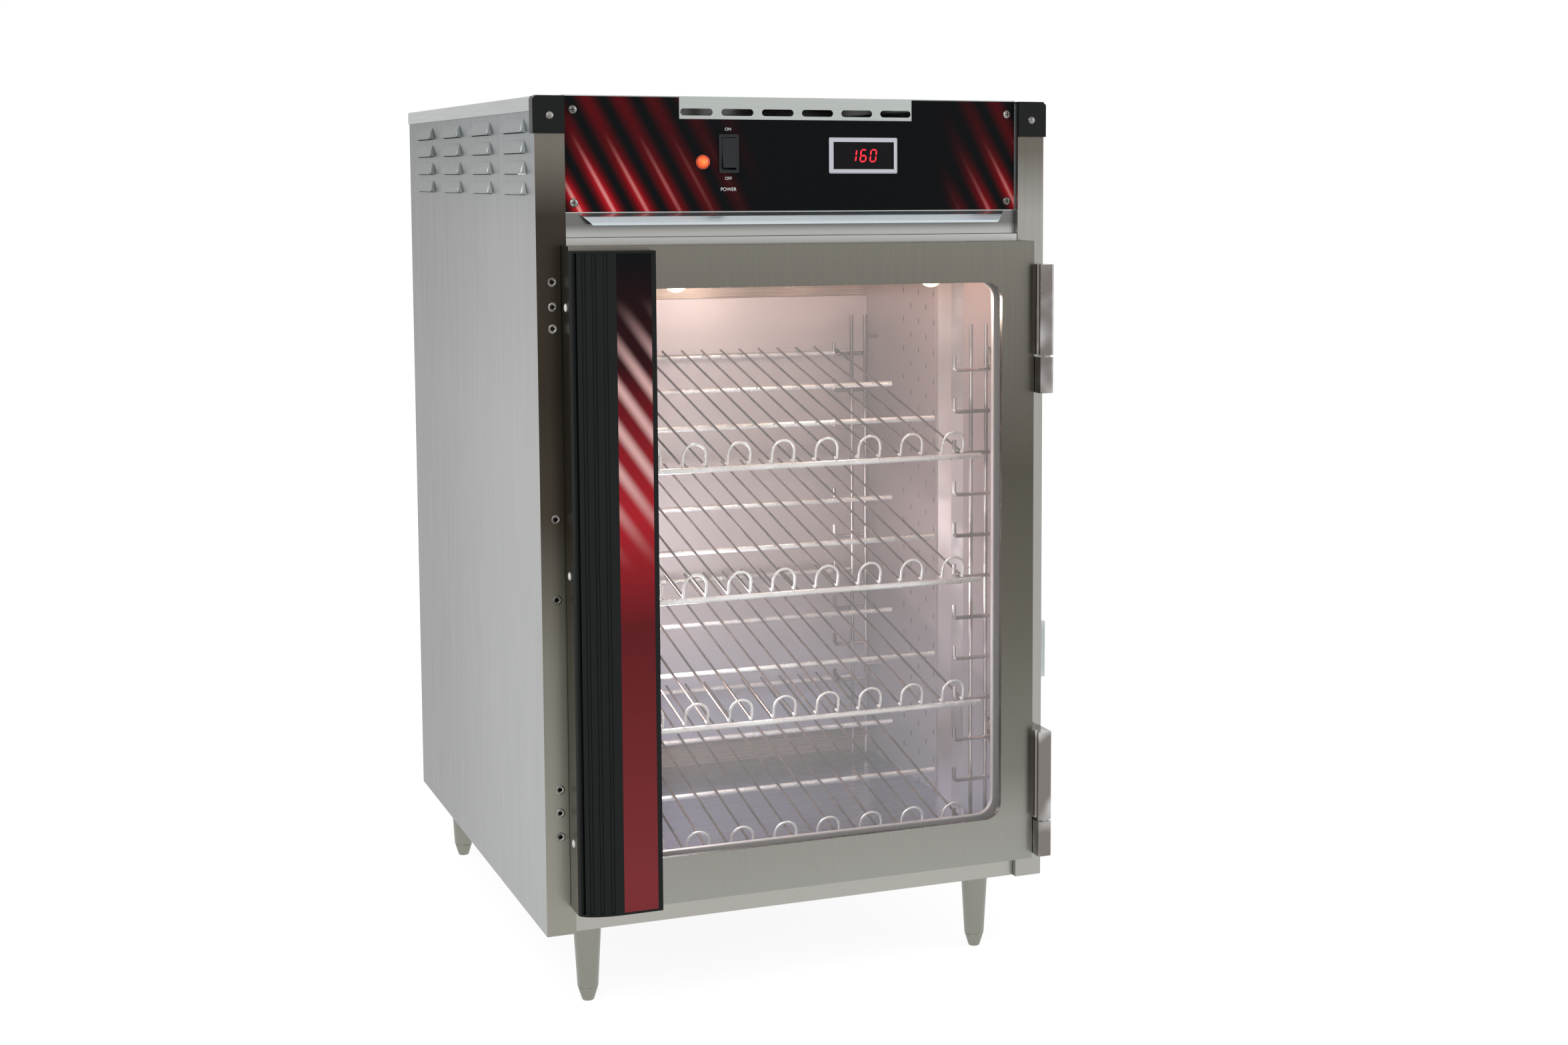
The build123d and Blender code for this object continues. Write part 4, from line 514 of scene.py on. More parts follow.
def panel_print(tree):
    """Black, with red bars that fade towards the middle and glow more along the lower edge."""
    _, (x, _, z) = places(tree)
    from_left = remap(tree, x, *LEFT_FADE)
    from_right = remap(tree, x, *RIGHT_FADE, 0.0, RIGHT_SHARE)
    fade = compute(tree, "MAXIMUM", from_left, from_right)
    low = remap(tree, z, *LOWER_FADE)
    bars = slanted_bars(tree, x, z, BAR_PITCH, BAR_SLANT, BAR_WIDTH)
    bars = compute(tree, "MULTIPLY", bars, fade)
    glow = compute(tree, "MULTIPLY", bars, compute(tree, "MULTIPLY_ADD", low, LOWER_SHARE, UPPER_SHARE))
    red = ramp(tree, glow, [(0.0, BLACK_INK), (0.4, DEEP_RED), (1.0, BRIGHT_RED)])
    cores = slanted_bars(tree, x, z, BAR_PITCH, BAR_SLANT, CORE_WIDTH)
    spark = compute(tree, "MULTIPLY", cores, compute(tree, "POWER", fade, 2.0))
    spark = compute(tree, "MULTIPLY", spark, low)
    return mix_colours(tree, compute(tree, "MULTIPLY", spark, CORE_SHARE), red, PALE_CORE)


def strip_print(tree):
    """Black at the top, deep red below, with pale slanted bars where the two meet."""
    _, (x, _, z) = places(tree)
    ground = ramp(tree, remap(tree, z, *STRIP_ENDS, kind="LINEAR"), STRIP_TONES)
    bars = slanted_bars(tree, z, x, STRIP_PITCH, STRIP_SLANT, STRIP_WIDTH)
    middle = compute(tree, "MULTIPLY", remap(tree, z, *UPPER_START), remap(tree, z, *LOWER_START))
    bars = compute(tree, "MULTIPLY", bars, middle)
    return mix_colours(tree, compute(tree, "MULTIPLY", bars, STRIP_SHARE), ground, PALE_BAR)


finish_nodes(printed_film("panel_film", panel_print, 0.22), "control_overlay")
finish_nodes(printed_film("strip_film", strip_print, 0.3), "handle_insert")
print("films done")

# %% [markdown]
# Round wire is a circle carried along a path. At each point of the path the circle needs two
# directions square to the wire. For a path that lies in one plane they are simple: one is square
# to that plane, and the other is square to both the plane's direction and the wire.

# %% Round wire
LONGEST_CUT = 0.45  # share of a straight that a rounded corner may take
FLAT_ENOUGH = 0.1  # a path whose heading leaves its plane by more isn't taken as flat


def rounded_path(points, radius, steps=5):
    """A path through corner points, each inner corner replaced by a short quadratic curve:
    weights (1-t)^2, 2t(1-t) and t^2 of the cut's start, the corner and the cut's end."""
    points = np.asarray(points, float)
    corner = points[1:-1]
    back, ahead = points[:-2] - corner, points[2:] - corner
    back_length = np.linalg.norm(back, axis=1, keepdims=True)
    ahead_length = np.linalg.norm(ahead, axis=1, keepdims=True)
    cut = np.minimum(radius, LONGEST_CUT * np.minimum(back_length, ahead_length))
    start, end = corner + back / back_length * cut, corner + ahead / ahead_length * cut
    t = np.linspace(0.0, 1.0, steps)[None, :, None]
    curve = (1 - t) ** 2 * start[:, None] + 2 * t * (1 - t) * corner[:, None] + t**2 * end[:, None]
    return np.vstack([points[:1], curve.reshape(-1, 3), points[-1:]])


def tube_faces(count, sides):
    """Four-sided faces between rings of points, ring after ring."""
    ring, side = np.meshgrid(np.arange(count - 1), np.arange(sides), indexing="ij")
    near, far = ring * sides + side, ring * sides + (side + 1) % sides
    return np.stack([near, far, far + sides, near + sides], -1).reshape(-1, 4).tolist()


def wire(path, radius, sides=10):
    """A round wire along a path: ring points are path + radius (cos a * first + sin a * second)."""
    path = np.asarray(path, float)
    heading = np.gradient(path, axis=0)
    heading /= np.linalg.norm(heading, axis=1, keepdims=True)
    plane = np.linalg.svd(path - path.mean(0))[2][2] if len(path) > 2 else None
    if plane is None or abs(heading @ plane).max() > FLAT_ENOUGH:
        plane = np.eye(3)[np.argmin(abs(heading).max(0))]
    first = np.cross(heading, plane)
    first /= np.linalg.norm(first, axis=1, keepdims=True)
    second = np.cross(heading, first)
    angle = np.linspace(0, 2 * np.pi, sides, endpoint=False)[None, :, None]
    rings = path[:, None] + radius * (np.cos(angle) * first[:, None] + np.sin(angle) * second[:, None])
    count, turn = len(path), np.arange(sides)
    last = (count - 1) * sides
    start_cap = np.stack([np.full(sides, count * sides), (turn + 1) % sides, turn], -1)
    end_cap = np.stack([np.full(sides, count * sides + 1), last + turn, last + (turn + 1) % sides], -1)
    vertices = np.vstack([rings.reshape(-1, 3), path[:1], path[-1:]])
    return vertices, tube_faces(count, sides) + start_cap.tolist() + end_cap.tolist()


print("points in a straight wire:", len(wire([(0, 0, 0), (0, 0, 1)], 1.0)[0]))


# %% [markdown]
# A turned piece is a profile carried round an axis, and a block is a box. Several such shapes are
# joined into one piece. Edges sharper than a set angle stay crisp, and all others are smooth.

# %% Turned pieces and blocks
CRISP = np.radians(50.0)
UP, FORWARD, LEFTWARD, RIGHTWARD = (0, 0, 1), (0, -1, 0), (-1, 0, 0), (1, 0, 0)


def turned(profile, centre, axis, sides=32):
    """A lathe piece: a profile row (radius, height) becomes centre + radius * circle + height * axis."""
    profile = np.asarray(profile, float)
    axis = np.asarray(axis, float) / np.linalg.norm(axis)
    across = np.cross(axis, np.eye(3)[np.argmin(abs(axis))])
    across /= np.linalg.norm(across)
    angle = np.linspace(0, 2 * np.pi, sides, endpoint=False)[:, None]
    circle = np.cos(angle) * across + np.sin(angle) * np.cross(axis, across)
    rings = np.asarray(centre) + profile[:, None, :1] * circle[None] + profile[:, None, 1:] * axis
    return rings.reshape(-1, 3), tube_faces(len(profile), sides)


def arc(radius, height, start=0.0, end=np.pi / 2, count=7, offset=(0.0, 0.0)):
    """Profile points on an ellipse: (radius cos t, height sin t), moved by the offset."""
    t = np.linspace(start, end, count)
    return np.stack([offset[0] + radius * np.cos(t), offset[1] + height * np.sin(t)], 1)


def block(low, high):
    """A plain box between two corners, as vertices and faces."""
    low, high = np.asarray(low, float), np.asarray(high, float)
    pick = np.array([[0, 0, 0], [1, 0, 0], [1, 1, 0], [0, 1, 0], [0, 0, 1], [1, 0, 1], [1, 1, 1], [0, 1, 1]])
    vertices = np.where(pick == 1, high, low)
    return vertices, [[0, 3, 2, 1], [4, 5, 6, 7], [0, 1, 5, 4], [1, 2, 6, 5], [2, 3, 7, 6], [3, 0, 4, 7]]


def build(name, shapes, body, material):
    """Joins shapes given in mm into one piece with outward faces, and lets it ride on a body."""
    mesh = bpy.data.meshes.new(name)
    offset, all_vertices, all_faces = 0, [], []
    for vertices, faces in shapes:
        all_vertices.append(np.asarray(vertices) / 1000.0)
        all_faces += [[index + offset for index in face] for face in faces]
        offset += len(vertices)
    mesh.from_pydata(np.vstack(all_vertices).tolist(), [], all_faces)
    worked = bmesh.new()
    worked.from_mesh(mesh)
    bmesh.ops.remove_doubles(worked, verts=worked.verts, dist=1e-6)
    bmesh.ops.recalc_face_normals(worked, faces=worked.faces)
    for edge in worked.edges:
        edge.smooth = bool(edge.calc_face_angle(0.0) < CRISP)
    worked.to_mesh(mesh)
    worked.free()
    mesh.polygons.foreach_set("use_smooth", np.full(len(mesh.polygons), True))
    mesh.materials.append(material)
    piece = add_object(name, mesh)
    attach(piece, body)
    print(f"{name}: {len(mesh.polygons)} faces")
    return piece


# %% [markdown]
# Each shelf has four thick rods with thin wires over them. The wires come in pairs: one length of wire runs
# forward, stands up in an arch that keeps the food from sliding out, and runs back. The runs get a dark
# painted reflection of the cavity and the rods and arches a bright painted reflection of the lamps, so they
# get two finishes.
# From here on, sizes are in millimetres until a piece is built.

# %% Wire shelves
MIDDLE, FRONT, BASE = -1.0, -307.0, 90.0
SHELF_TILT = np.radians(12.5)
SHELF_COUNT, SHELF_DROP, SHELF_DEPTH, SHELF_LEVEL = 4, 137.4, 62.0, 458.0
ROD, ROD_COUNT, ROD_STEP, ROD_HALF, ROD_SIDES = 3.1, 4, 133.7, 230.0, 14
WIRE, PAIRS, PITCH, ARCH, ARCH_SIDES, RUN_SIDES = 1.4, 9, 24.5, 28.5, 10, 8
RUN_START, RUN_PAST_ROD, FOOT_BEND = 6.0, 8.0, 3.0


def shelf_place(local, number):
    """Carries points from a shelf's own flat frame to its sloped place."""
    local = np.asarray(local, float)
    along = np.array([0.0, np.cos(SHELF_TILT), np.sin(SHELF_TILT)])
    rise = np.array([0.0, -np.sin(SHELF_TILT), np.cos(SHELF_TILT)])
    start = np.array([MIDDLE, FRONT + SHELF_DEPTH, BASE + SHELF_LEVEL - SHELF_DROP * number])
    return start + local[:, :1] * np.array([1.0, 0, 0]) + local[:, 1:2] * along + local[:, 2:] * rise


half, top_of_rods = PITCH / 2, ROD + WIRE
span = (ROD_COUNT - 1) * ROD_STEP + ROD + RUN_PAST_ROD
sweep = np.linspace(0, np.pi, 17)
bow = np.stack([-half * np.cos(sweep), 0 * sweep, ARCH - half + half * np.sin(sweep)], 1)
foot_corners = [(-half, RUN_START, top_of_rods), (-half, 0, top_of_rods), bow[0]]
foot_bend = rounded_path(foot_corners, FOOT_BEND)
arch_path = np.vstack([foot_bend[:-1], bow, foot_bend[-2::-1] * np.array([-1.0, 1.0, 1.0])])
bright_shapes, run_shapes = [], []
for number in range(SHELF_COUNT):
    for rod in range(ROD_COUNT):
        ends = [(-ROD_HALF, rod * ROD_STEP, 0.0), (ROD_HALF, rod * ROD_STEP, 0.0)]
        bright_shapes.append(wire(shelf_place(ends, number), ROD, ROD_SIDES))
    for pair in range(PAIRS):
        shift = np.array([(pair - PAIRS // 2) * 2 * PITCH, 0.0, 0.0])
        bright_shapes.append(wire(shelf_place(arch_path + shift, number), WIRE, ARCH_SIDES))
        for side in (-half, half):
            run = np.array([(side, RUN_START, top_of_rods), (side, span, top_of_rods)]) + shift
            run_shapes.append(wire(shelf_place(run, number), WIRE, RUN_SIDES))
shelves = build("shelf_rods_and_arches", bright_shapes, "cabinet", rod_chrome_painted_lit)
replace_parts(shelves, "wire_shelves")
build("shelf_runs", run_shapes, "cabinet", run_chrome_painted_dark)

# %% [markdown]
# The racks hold the shelves: two ladders of hooks on each side wall. A hook is a short wire that
# turns up at its end, welded to two uprights. The left side is the right side seen in a mirror.

# %% Racks
RACK_ROD, WALL_ROD, UPRIGHT_STEP, WALL_FACE = 2.3, 242.0, 18.0, 258.9
HOOK_REACH, HOOK_RISE, HOOK_STEP, HOOK_BEND = 202.0, 15.0, 45.8, 4.5
RACK_FOOT, STAY_LEVELS, LOWEST_HOOK = 38.0, (150.0, 565.0), 7.5
STEPS_DOWN, STEPS_UP = 4, 13  # more than any ladder has; those past its ends are left out
LADDERS = [(72.0, 1, 602.0, 138.28), (446.99, -1, 592.0, 221.41)]
KNOB_LEVELS, KNOB_Y, KNOB_FACE = (240.0, 655.0), FRONT + 53.6, 244.3
PLATE_THICK, PLATE_HALF, PLATE_FRONT, PLATE_BACK = 2.0, 12.0, 8.0, 26.0


def ladder(depth, turn, top, first_level):
    """One ladder at the right wall: two uprights, their stays, and hooks that turn up at the end."""
    y = FRONT + depth
    upright_y = y + turn * 2 * RACK_ROD
    low, high = BASE + RACK_FOOT, BASE + top
    uprights = (WALL_ROD, WALL_ROD - UPRIGHT_STEP)
    shapes = [wire([(x, upright_y, low), (x, upright_y, high)], RACK_ROD) for x in uprights]
    for level in STAY_LEVELS:
        stay = [(WALL_ROD, upright_y, BASE + level), (WALL_FACE, upright_y, BASE + level)]
        shapes.append(wire(stay, RACK_ROD))
    levels = first_level + HOOK_STEP * np.arange(-STEPS_DOWN, STEPS_UP)
    for level in levels[(levels > low + LOWEST_HOOK) & (levels < high - HOOK_RISE)]:
        tip = (HOOK_REACH, y, level + HOOK_RISE)
        corners = [(WALL_ROD + RACK_ROD, y, level), (HOOK_REACH, y, level), tip]
        shapes.append(wire(rounded_path(corners, HOOK_BEND), RACK_ROD))
    return shapes


right_rack = [shape for measures in LADDERS for shape in ladder(*measures)]
for level in KNOB_LEVELS:
    plate_low = (KNOB_FACE, KNOB_Y - PLATE_FRONT, level - PLATE_HALF)
    plate_high = (KNOB_FACE + PLATE_THICK, KNOB_Y + PLATE_BACK, level + PLATE_HALF)
    right_rack.append(block(plate_low, plate_high))
mirrored_rack = [
    (np.asarray(vertices) * (-1, 1, 1) + (2 * MIDDLE, 0, 0), faces) for vertices, faces in right_rack
]
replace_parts(build("rack_wires_right", right_rack, "cabinet", rack_chrome), "rack_right")
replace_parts(build("rack_wires_left", mirrored_rack, "cabinet", rack_chrome), "rack_left")

# %% [markdown]
# The legs are turned from bar: a plain collar, then a long taper down to the screw foot. The foot
# carries the taper on, so that the joint between the two is only a fine line.

# %% Legs and feet
LEG_SIDES = 48
LEG_PLACES = {
    "front_left": (-221.0, -252.0), "front_right": (219.0, -252.0),
    "back_left": (-234.0, 316.0), "back_right": (232.0, 316.0),
}
leg_profile = [
    (0.0, 52.3), (5.1, 52.3), (5.1, 14.3), (10.4, 14.3), (10.8, 14.8),
    (14.9, 86.4), (15.0, 87.0), (15.0, 90.0), (5.5, 90.0), (5.5, 98.2), (0.0, 98.2),
]
foot_profile = [
    (0.0, 0.0), (5.8, 0.0), (6.3, 0.6), (10.3, 13.6),
    (10.1, 14.0), (4.8, 14.0), (4.8, 50.0), (0.0, 50.0),
]
leg_metal = brushed_steel("leg_metal", (0.27, 0.27, 0.235), 0.3, ALONG_Z)
legs = [turned(leg_profile, (x, y, 0.0), UP, LEG_SIDES) for x, y in LEG_PLACES.values()]
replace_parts(build("turned_legs", legs, "cabinet", leg_metal), "legs")
for spot, (x, y) in LEG_PLACES.items():
    foot = build(f"turned_foot_{spot}", [turned(foot_profile, (x, y, 0.0), UP, LEG_SIDES)],
                 f"{spot}_foot", leg_metal)
    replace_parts(foot, f"foot_{spot}")

# %% [markdown]
# Small turned pieces come next, first the knobs that the racks hang on. A short curve in the
# profile is enough to catch a highlight.

# %% Rack knobs
knob_profile = [
    (3.0, -14.7), (3.0, 0.0), (15.0, 0.0), (15.0, 3.0),
    *arc(15.0, 5.0, 0.1, 1.45, 8, (0, 3.0)), (0.0, 8.0),
]
knobs = []
for level in KNOB_LEVELS:
    knobs.append(turned(knob_profile, (KNOB_FACE, KNOB_Y, level), LEFTWARD))
    knobs.append(turned(knob_profile, (2 * MIDDLE - KNOB_FACE, KNOB_Y, level), RIGHTWARD))
# warm tones: a painted reflection of the lamps
knob_chrome = chrome("knob_chrome", (0.8, 0.62, 0.52), (0.3, 0.2, 0.17), 0.08, scale=40.0)
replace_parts(build("turned_knobs", knobs, "cabinet", knob_chrome), "rack_knobs")

# %% [markdown]
# A rivet holds each black corner cap: a low dome on a shank, in a duller metal than the chrome.

# %% Cap rivets
RIVET_COLUMNS, RIVET_FACE, RIVET_LEVEL = (-261.0, 259.0), FRONT - 2.0, 912.5
rivet_profile = [(1.9, -2.0), (1.9, 0.0), (4.0, 0.0), *arc(4.0, 1.6, 0.1)]
rivets = [turned(rivet_profile, (x, RIVET_FACE, RIVET_LEVEL), FORWARD) for x in RIVET_COLUMNS]
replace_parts(build("domed_rivets", rivets, "cabinet", dark_steel), "cap_rivets")

# %% [markdown]
# Threaded inserts in the left post show as small rings. Their profile is a closed loop, so the
# lathe makes a ring with a bore.

# %% Post inserts
INSERT_COLUMN = -260.5
INSERT_HEIGHTS = np.array([659.5, 635.0, 613.5, 424.0, 343.0, 150.0, 126.0, 101.5])
ring_profile = [
    (2.0, 0.3), (2.0, -8.0), (2.9, -8.0), (2.9, 0.0), (4.75, 0.0),
    (4.75, 0.4), (4.3, 0.8), (2.6, 0.8), (2.0, 0.3),
]
rings = [turned(ring_profile, (INSERT_COLUMN, FRONT, BASE + height), FORWARD) for height in INSERT_HEIGHTS]
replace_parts(build("insert_rings", rings, "cabinet", dark_steel), "post_inserts")

# %% [markdown]
# The panel's screws are pan heads. A cut recess would need a boolean; two thin bars in painted shade,
# crossed and level with the top of the dome, read the same at this size.

# %% Panel screws
PANEL_Y, SCREW_SIDES = FRONT + 6.9, 24
SCREW_PLACES = [(x, BASE + height) for x in (-236.0, 234.0) for height in (737.0, 828.5)]
screw_profile = [
    (1.9, -10.0), (1.9, 0.0), (4.5, 0.0), (4.5, 0.4),
    *arc(4.5, 1.8, 0.1, 1.35, 6, (0, 0.4)), (0.0, 2.2),
]
screws = [turned(screw_profile, (x, PANEL_Y, z), FORWARD, SCREW_SIDES) for x, z in SCREW_PLACES]
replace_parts(build("pan_screws", screws, "cabinet", dark_steel), "panel_screws")

RECESS_LONG, RECESS_SHORT, RECESS_FRONT, RECESS_BACK = 2.6, 0.45, 2.26, 1.6
# The bars are near black: painted shade where the recess would be.
recess_painted_shade = moulded("recess_painted_shade", (0.01, 0.01, 0.01), 0.6)
recesses = []
for x, z in SCREW_PLACES:
    for half_x, half_z in ((RECESS_LONG, RECESS_SHORT), (RECESS_SHORT, RECESS_LONG)):
        near_corner = (x - half_x, PANEL_Y - RECESS_FRONT, z - half_z)
        far_corner = (x + half_x, PANEL_Y - RECESS_BACK, z + half_z)
        recesses.append(block(near_corner, far_corner))
build("screw_recesses", recesses, "cabinet", recess_painted_shade)

# %% [markdown]
# White plugs close the holes in the door's edge. They ride on the door, as the handle does.

# %% Hole plugs
PLUG_X, PLUG_Y, PLUG_LEVELS = -251.5, -323.0, (188.0, 459.0, 725.0)
plug_profile = [(0.0, 0.0), (4.2, 0.0), *arc(3.9, 1.5, 0.1, 1.5, 7)]
plugs = [turned(plug_profile, (PLUG_X, PLUG_Y, level), LEFTWARD) for level in PLUG_LEVELS]
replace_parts(build("domed_plugs", plugs, "door", white_moulding), "handle_plugs")

# %% [markdown]
# The bulbs and the pilot lens give light themselves, so their shader emits, a little unevenly as
# frosted glass does.

# %% Glowing bulbs
GLOW_SCALE, GLOW_SPREAD = 300.0, 0.1
BULB_SPOTS, BULB_TOP = [(-81.0, -129.0), (219.0, -129.0)], BASE + 700.0


def glowing(name, colour, light, strength):
    """A glossy finish that gives light of its own, with soft unevenness."""
    material, tree, shader = new_finish(name, Base_Color=colour, Emission_Color=light, Roughness=0.15)
    frost = noise(tree, places(tree)[0], GLOW_SCALE)
    least, most = (1.0 - GLOW_SPREAD) * strength, (1.0 + GLOW_SPREAD) * strength
    strength_here = remap(tree, frost, NOISE_LOW, NOISE_HIGH, least, most)
    tree.links.new(strength_here, shader.inputs["Emission Strength"])
    return material, tree, shader


bulb_glass, _, _ = glowing("bulb_glass", (1.0, 0.9, 0.75), (1.0, 0.76, 0.5), 2.2)
bulb_profile = [
    (0.0, 0.0), (8.4, 0.0), (8.4, -8.0), (14.0, -18.0), (14.0, -48.0),
    *arc(14.0, -14.0, 0.1, 1.5, 9, (0, -48.0)), (0.0, -62.0),
]
bulbs = [turned(bulb_profile, (x, y, BULB_TOP), UP) for x, y in BULB_SPOTS]
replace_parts(build("glowing_bulbs", bulbs, "cabinet", bulb_glass), "lamp_bulbs")

# %% [markdown]
# The glow on the walls comes partly from two small lamps that stand under the bulbs and partly from lamp
# light painted into the walls' colours. A third, lower down, stands for the light that the bright walls
# throw to each other. Their places are in metres.

# %% Lamps
LAMP_COLOUR, LAMP_ENERGY, LAMP_SIZE = (1.0, 0.84, 0.74), 0.75, 0.02
LAMP_INWARD, LAMP_OFFSET, LAMP_LEVEL = 0.7, 0.03, BASE + 622.0
BOUNCE_COLOUR, BOUNCE_ENERGY, BOUNCE_SIZE = (0.97, 0.96, 1.0), 3.1, 0.08
BOUNCE_PLACE = (-0.12, -0.14, 0.36)


def point_light(name, place, colour, energy, size):
    """A small round light; a larger size gives softer shadows."""
    data = bpy.data.lights.new(name, "POINT")
    data.energy, data.color, data.shadow_soft_size = energy, colour, size
    add_object(name, data).location = place


for number, (x, y) in enumerate(BULB_SPOTS):
    lamp_place = (LAMP_INWARD * x / 1000 - LAMP_OFFSET, y / 1000 - LAMP_OFFSET, LAMP_LEVEL / 1000)
    point_light(f"bulb_light_{number}", lamp_place, LAMP_COLOUR, LAMP_ENERGY, LAMP_SIZE)
point_light("bounced_light", BOUNCE_PLACE, BOUNCE_COLOUR, BOUNCE_ENERGY, BOUNCE_SIZE)
print("lamps:", len(BULB_SPOTS) + 1)

# %% [markdown]
# The pilot lens is brightest over its lamp and nearly black at its rim. The distance from the
# lens's axis drives both the colour of its glow and the ring.

# %% Pilot lens
PILOT_X, PILOT_Z, GLOW_RADIUS = -103.0, BASE + 777.5, 0.0073
LENS_TONES = [
    (0.0, (1.0, 0.36, 0.06)), (0.5, (0.95, 0.12, 0.015)),
    (0.8, (0.6, 0.04, 0.008)), (0.86, (0.01, 0.004, 0.004)),
]
lens_glow, lens_tree, lens_shader = glowing("pilot_lens", (0.5, 0.06, 0.01), (1.0, 0.2, 0.03), 0.9)
_, (lens_x, _, lens_z) = places(lens_tree)
off_x = compute(lens_tree, "SUBTRACT", lens_x, PILOT_X / 1000)
off_z = compute(lens_tree, "SUBTRACT", lens_z, PILOT_Z / 1000)
square_x = compute(lens_tree, "MULTIPLY", off_x, off_x)
square_z = compute(lens_tree, "MULTIPLY", off_z, off_z)
off_axis = compute(lens_tree, "SQRT", compute(lens_tree, "ADD", square_x, square_z))
outward = remap(lens_tree, off_axis, 0.0, GLOW_RADIUS, kind="LINEAR")
lens_tree.links.new(ramp(lens_tree, outward, LENS_TONES), lens_shader.inputs["Emission Color"])
lens_profile = [
    (5.7, -24.0), (5.7, 0.0), (7.25, 0.0), (7.25, 1.0),
    *arc(6.3, 3.5, 0.1, 1.45, 8, (0, 1.0)), (0.0, 4.5),
]
lens = build("pilot_dome", [turned(lens_profile, (PILOT_X, PANEL_Y, PILOT_Z), FORWARD)],
             "cabinet", lens_glow)
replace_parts(lens, "pilot_lamp")

# %% [markdown]
# A seven-segment digit is seven slim six-sided bars. Each bar is the same outline, moved and
# turned, and the whole number leans forward by a shear, as on most panel displays.

# %% Display
SEGMENTS = {"1": "bc", "6": "acdefg", "0": "abcdef"}
BAR_PLACES = {  # middle of each bar and whether it stands upright, in units of the digit's half height
    "a": (0.0, 1.0, 0), "g": (0.0, 0.0, 0), "d": (0.0, -1.0, 0),
    "b": (0.5, 0.5, 1), "c": (0.5, -0.5, 1), "f": (-0.5, 0.5, 1), "e": (-0.5, -0.5, 1),
}
BAR_OUTLINE = np.array([(-0.43, 0), (-0.31, 0.12), (0.31, 0.12), (0.43, 0), (0.31, -0.12), (-0.31, -0.12)])
DIGIT_HEIGHT, DIGIT_STEP, DIGIT_LEAN, DIGIT_THICKNESS, DIGIT_GAP = 12.0, 11.0, 0.12, 0.12, 0.01


def digit(character, x, z, face_y):
    """Bars of one digit as flat six-sided plates just in front of the window."""
    shapes = []
    for bar in SEGMENTS[character]:
        centre_x, centre_z, upright = BAR_PLACES[bar]
        outline = BAR_OUTLINE[:, ::-1] if upright else BAR_OUTLINE
        points = (outline + (centre_x, centre_z)) * DIGIT_HEIGHT / 2
        leaning = x + points[:, 0] + DIGIT_LEAN * points[:, 1]
        flat = np.stack([leaning, np.full(6, face_y), z + points[:, 1]], 1)
        sides = [[k, (k + 1) % 6, (k + 1) % 6 + 6, k + 6] for k in range(6)]
        plate = np.vstack([flat, flat + (0.0, DIGIT_THICKNESS, 0.0)])
        shapes.append((plate, [[0, 1, 2, 3, 4, 5], [11, 10, 9, 8, 7, 6]] + sides))
    return shapes


red_glow, _, _ = glowing("digit_red", (0.6, 0.01, 0.02), (1.0, 0.012, 0.03), 1.3)
window_low, window_high = (np.array(corner) * 1000 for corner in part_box("display_window"))
window_middle = (window_low + window_high) / 2
digits = []
for place, character in enumerate("160"):
    digit_x = window_middle[0] + (place - 1) * DIGIT_STEP
    digits += digit(character, digit_x, window_middle[2], window_low[1] - DIGIT_THICKNESS - DIGIT_GAP)
build("display_digits", digits, "cabinet", red_glow)

# %% [markdown]
# The words round the switch say only what the switch does. Text starts as a curve, is turned into
# a mesh, and is then laid on the panel by moving its vertices.

# %% Switch marks
CAPITAL_SHARE = 0.7  # height of a capital letter in a text of size 1
SWITCH_X, INK_Y = -76.0, PANEL_Y - 0.05
SWITCH_MARKS = [  # name, words, height of their middle, height of a capital
    ("mark_on", "ON", 900.5, 3.0), ("mark_off", "OFF", 851.0, 3.0), ("mark_power", "POWER", 840.0, 3.4),
]
print_white = moulded("print_white", (0.75, 0.76, 0.76), 0.4)


def panel_words(name, words, z, height):
    """Flat letters on the panel above or below the switch; height is that of a capital in mm."""
    letters = bpy.data.curves.new(name, "FONT")
    letters.body, letters.align_x, letters.align_y = words, "CENTER", "CENTER"
    letters.size = height / CAPITAL_SHARE / 1000
    holder = add_object(name + "_curve", letters)
    mesh = bpy.data.meshes.new_from_object(holder.evaluated_get(bpy.context.evaluated_depsgraph_get()))
    bpy.data.objects.remove(holder)
    flat = np.empty(len(mesh.vertices) * 3)
    mesh.vertices.foreach_get("co", flat)
    flat = flat.reshape(-1, 3)
    on_panel = np.full(len(flat), INK_Y / 1000)
    laid = np.stack([flat[:, 0] + SWITCH_X / 1000, on_panel, flat[:, 1] + z / 1000], 1)
    mesh.vertices.foreach_set("co", laid.ravel())
    mesh.materials.clear()
    mesh.materials.append(print_white)
    piece = add_object(name, mesh)
    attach(piece, "cabinet")


for mark in SWITCH_MARKS:
    panel_words(*mark)

# %% [markdown]
# A pale floor and two soft lights make the studio. The background is white to the camera and in
# reflections, but it throws only a modest light on the cabinet, so pale steel doesn't clip.

# %% Background
WORLD_LIGHT, WHITE = 0.55, (1.0, 1.0, 1.0, 1.0)


def seen_directly(tree):
    """1 for what the camera and mirrors see, 0 for light that falls on a surface."""
    ray = add_node(tree, "ShaderNodeLightPath").outputs
    shown = compute(tree, "MAXIMUM", ray["Is Camera Ray"], ray["Is Glossy Ray"])
    return compute(tree, "MAXIMUM", shown, ray["Is Transmission Ray"])


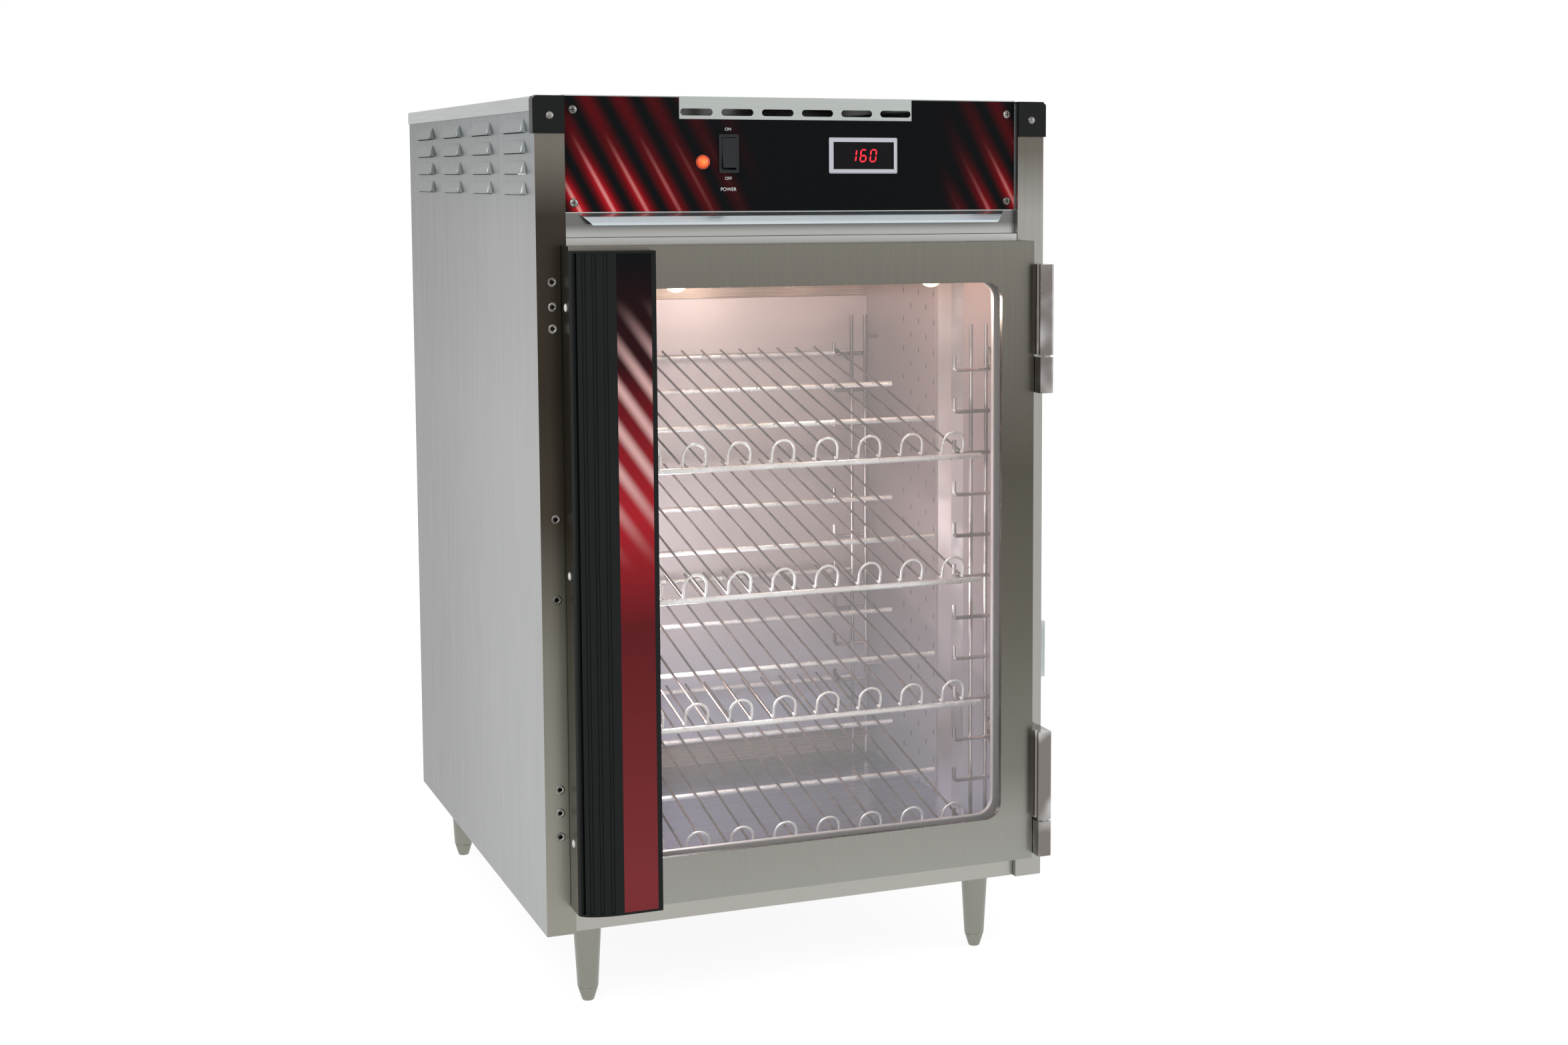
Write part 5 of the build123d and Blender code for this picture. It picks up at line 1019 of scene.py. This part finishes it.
world = bpy.data.worlds.new("studio")
bpy.context.scene.world = world
world.use_nodes = True
world_tree = world.node_tree
background = world_tree.nodes["Background"]
background.inputs[0].default_value = WHITE
sky = compute(world_tree, "MULTIPLY_ADD", seen_directly(world_tree), 1.0 - WORLD_LIGHT, WORLD_LIGHT)
world_tree.links.new(sky, background.inputs[1])

# %% [markdown]
# The floor is one large square. It glows just enough to meet the background without a line, and
# still darkens in the cabinet's shadow.

# %% Floor
FLOOR_GLOW, FLOOR_SHARE, FLOOR_HALF, FLOOR_GREY = 1.25, 0.7, 8.0, 0.85
floor_mesh = bpy.data.meshes.new("studio_floor")
square_corners = ((-1, -1), (1, -1), (1, 1), (-1, 1))
floor_corners = [(x * FLOOR_HALF, y * FLOOR_HALF, 0) for x, y in square_corners]
floor_mesh.from_pydata(floor_corners, [], [[0, 1, 2, 3]])
floor = add_object("studio_floor", floor_mesh)
floor_finish = bpy.data.materials.new("studio_floor")
floor_finish.use_nodes = True
floor_tree = floor_finish.node_tree
floor_tree.nodes.clear()
diffuse = add_node(floor_tree, "ShaderNodeBsdfDiffuse", {0: (FLOOR_GREY, FLOOR_GREY, FLOOR_GREY, 1.0)})
glow = add_node(floor_tree, "ShaderNodeEmission", {0: WHITE, 1: FLOOR_GLOW})
share = compute(floor_tree, "MULTIPLY", seen_directly(floor_tree), FLOOR_SHARE)
blend = add_node(floor_tree, "ShaderNodeMixShader", {0: share, 1: diffuse.outputs[0], 2: glow.outputs[0]})
add_node(floor_tree, "ShaderNodeOutputMaterial", {0: blend.outputs[0]})
floor_mesh.materials.append(floor_finish)

# %% [markdown]
# The stronger light stands high at the front left, on the camera's side. The weaker one opens the
# shadows from the right.

# %% Soft lights
LIGHT_AIM = (0.0, 0.0, 0.5)
SOFT_LIGHTS = [  # name, place, size, energy
    ("key", (-1.8, -2.2, 2.4), 1.4, 30.0), ("fill", (2.2, -1.6, 1.2), 1.6, 12.0),
]
for name, place, size, energy in SOFT_LIGHTS:
    light = bpy.data.lights.new(name, "AREA")
    light.size, light.energy = size, energy
    holder = add_object(name, light)
    holder.location = place
    holder.rotation_euler = (Vector(LIGHT_AIM) - Vector(place)).to_track_quat("-Z", "Y").to_euler()
bpy.context.scene.view_settings.view_transform = "Standard"
print("studio done")
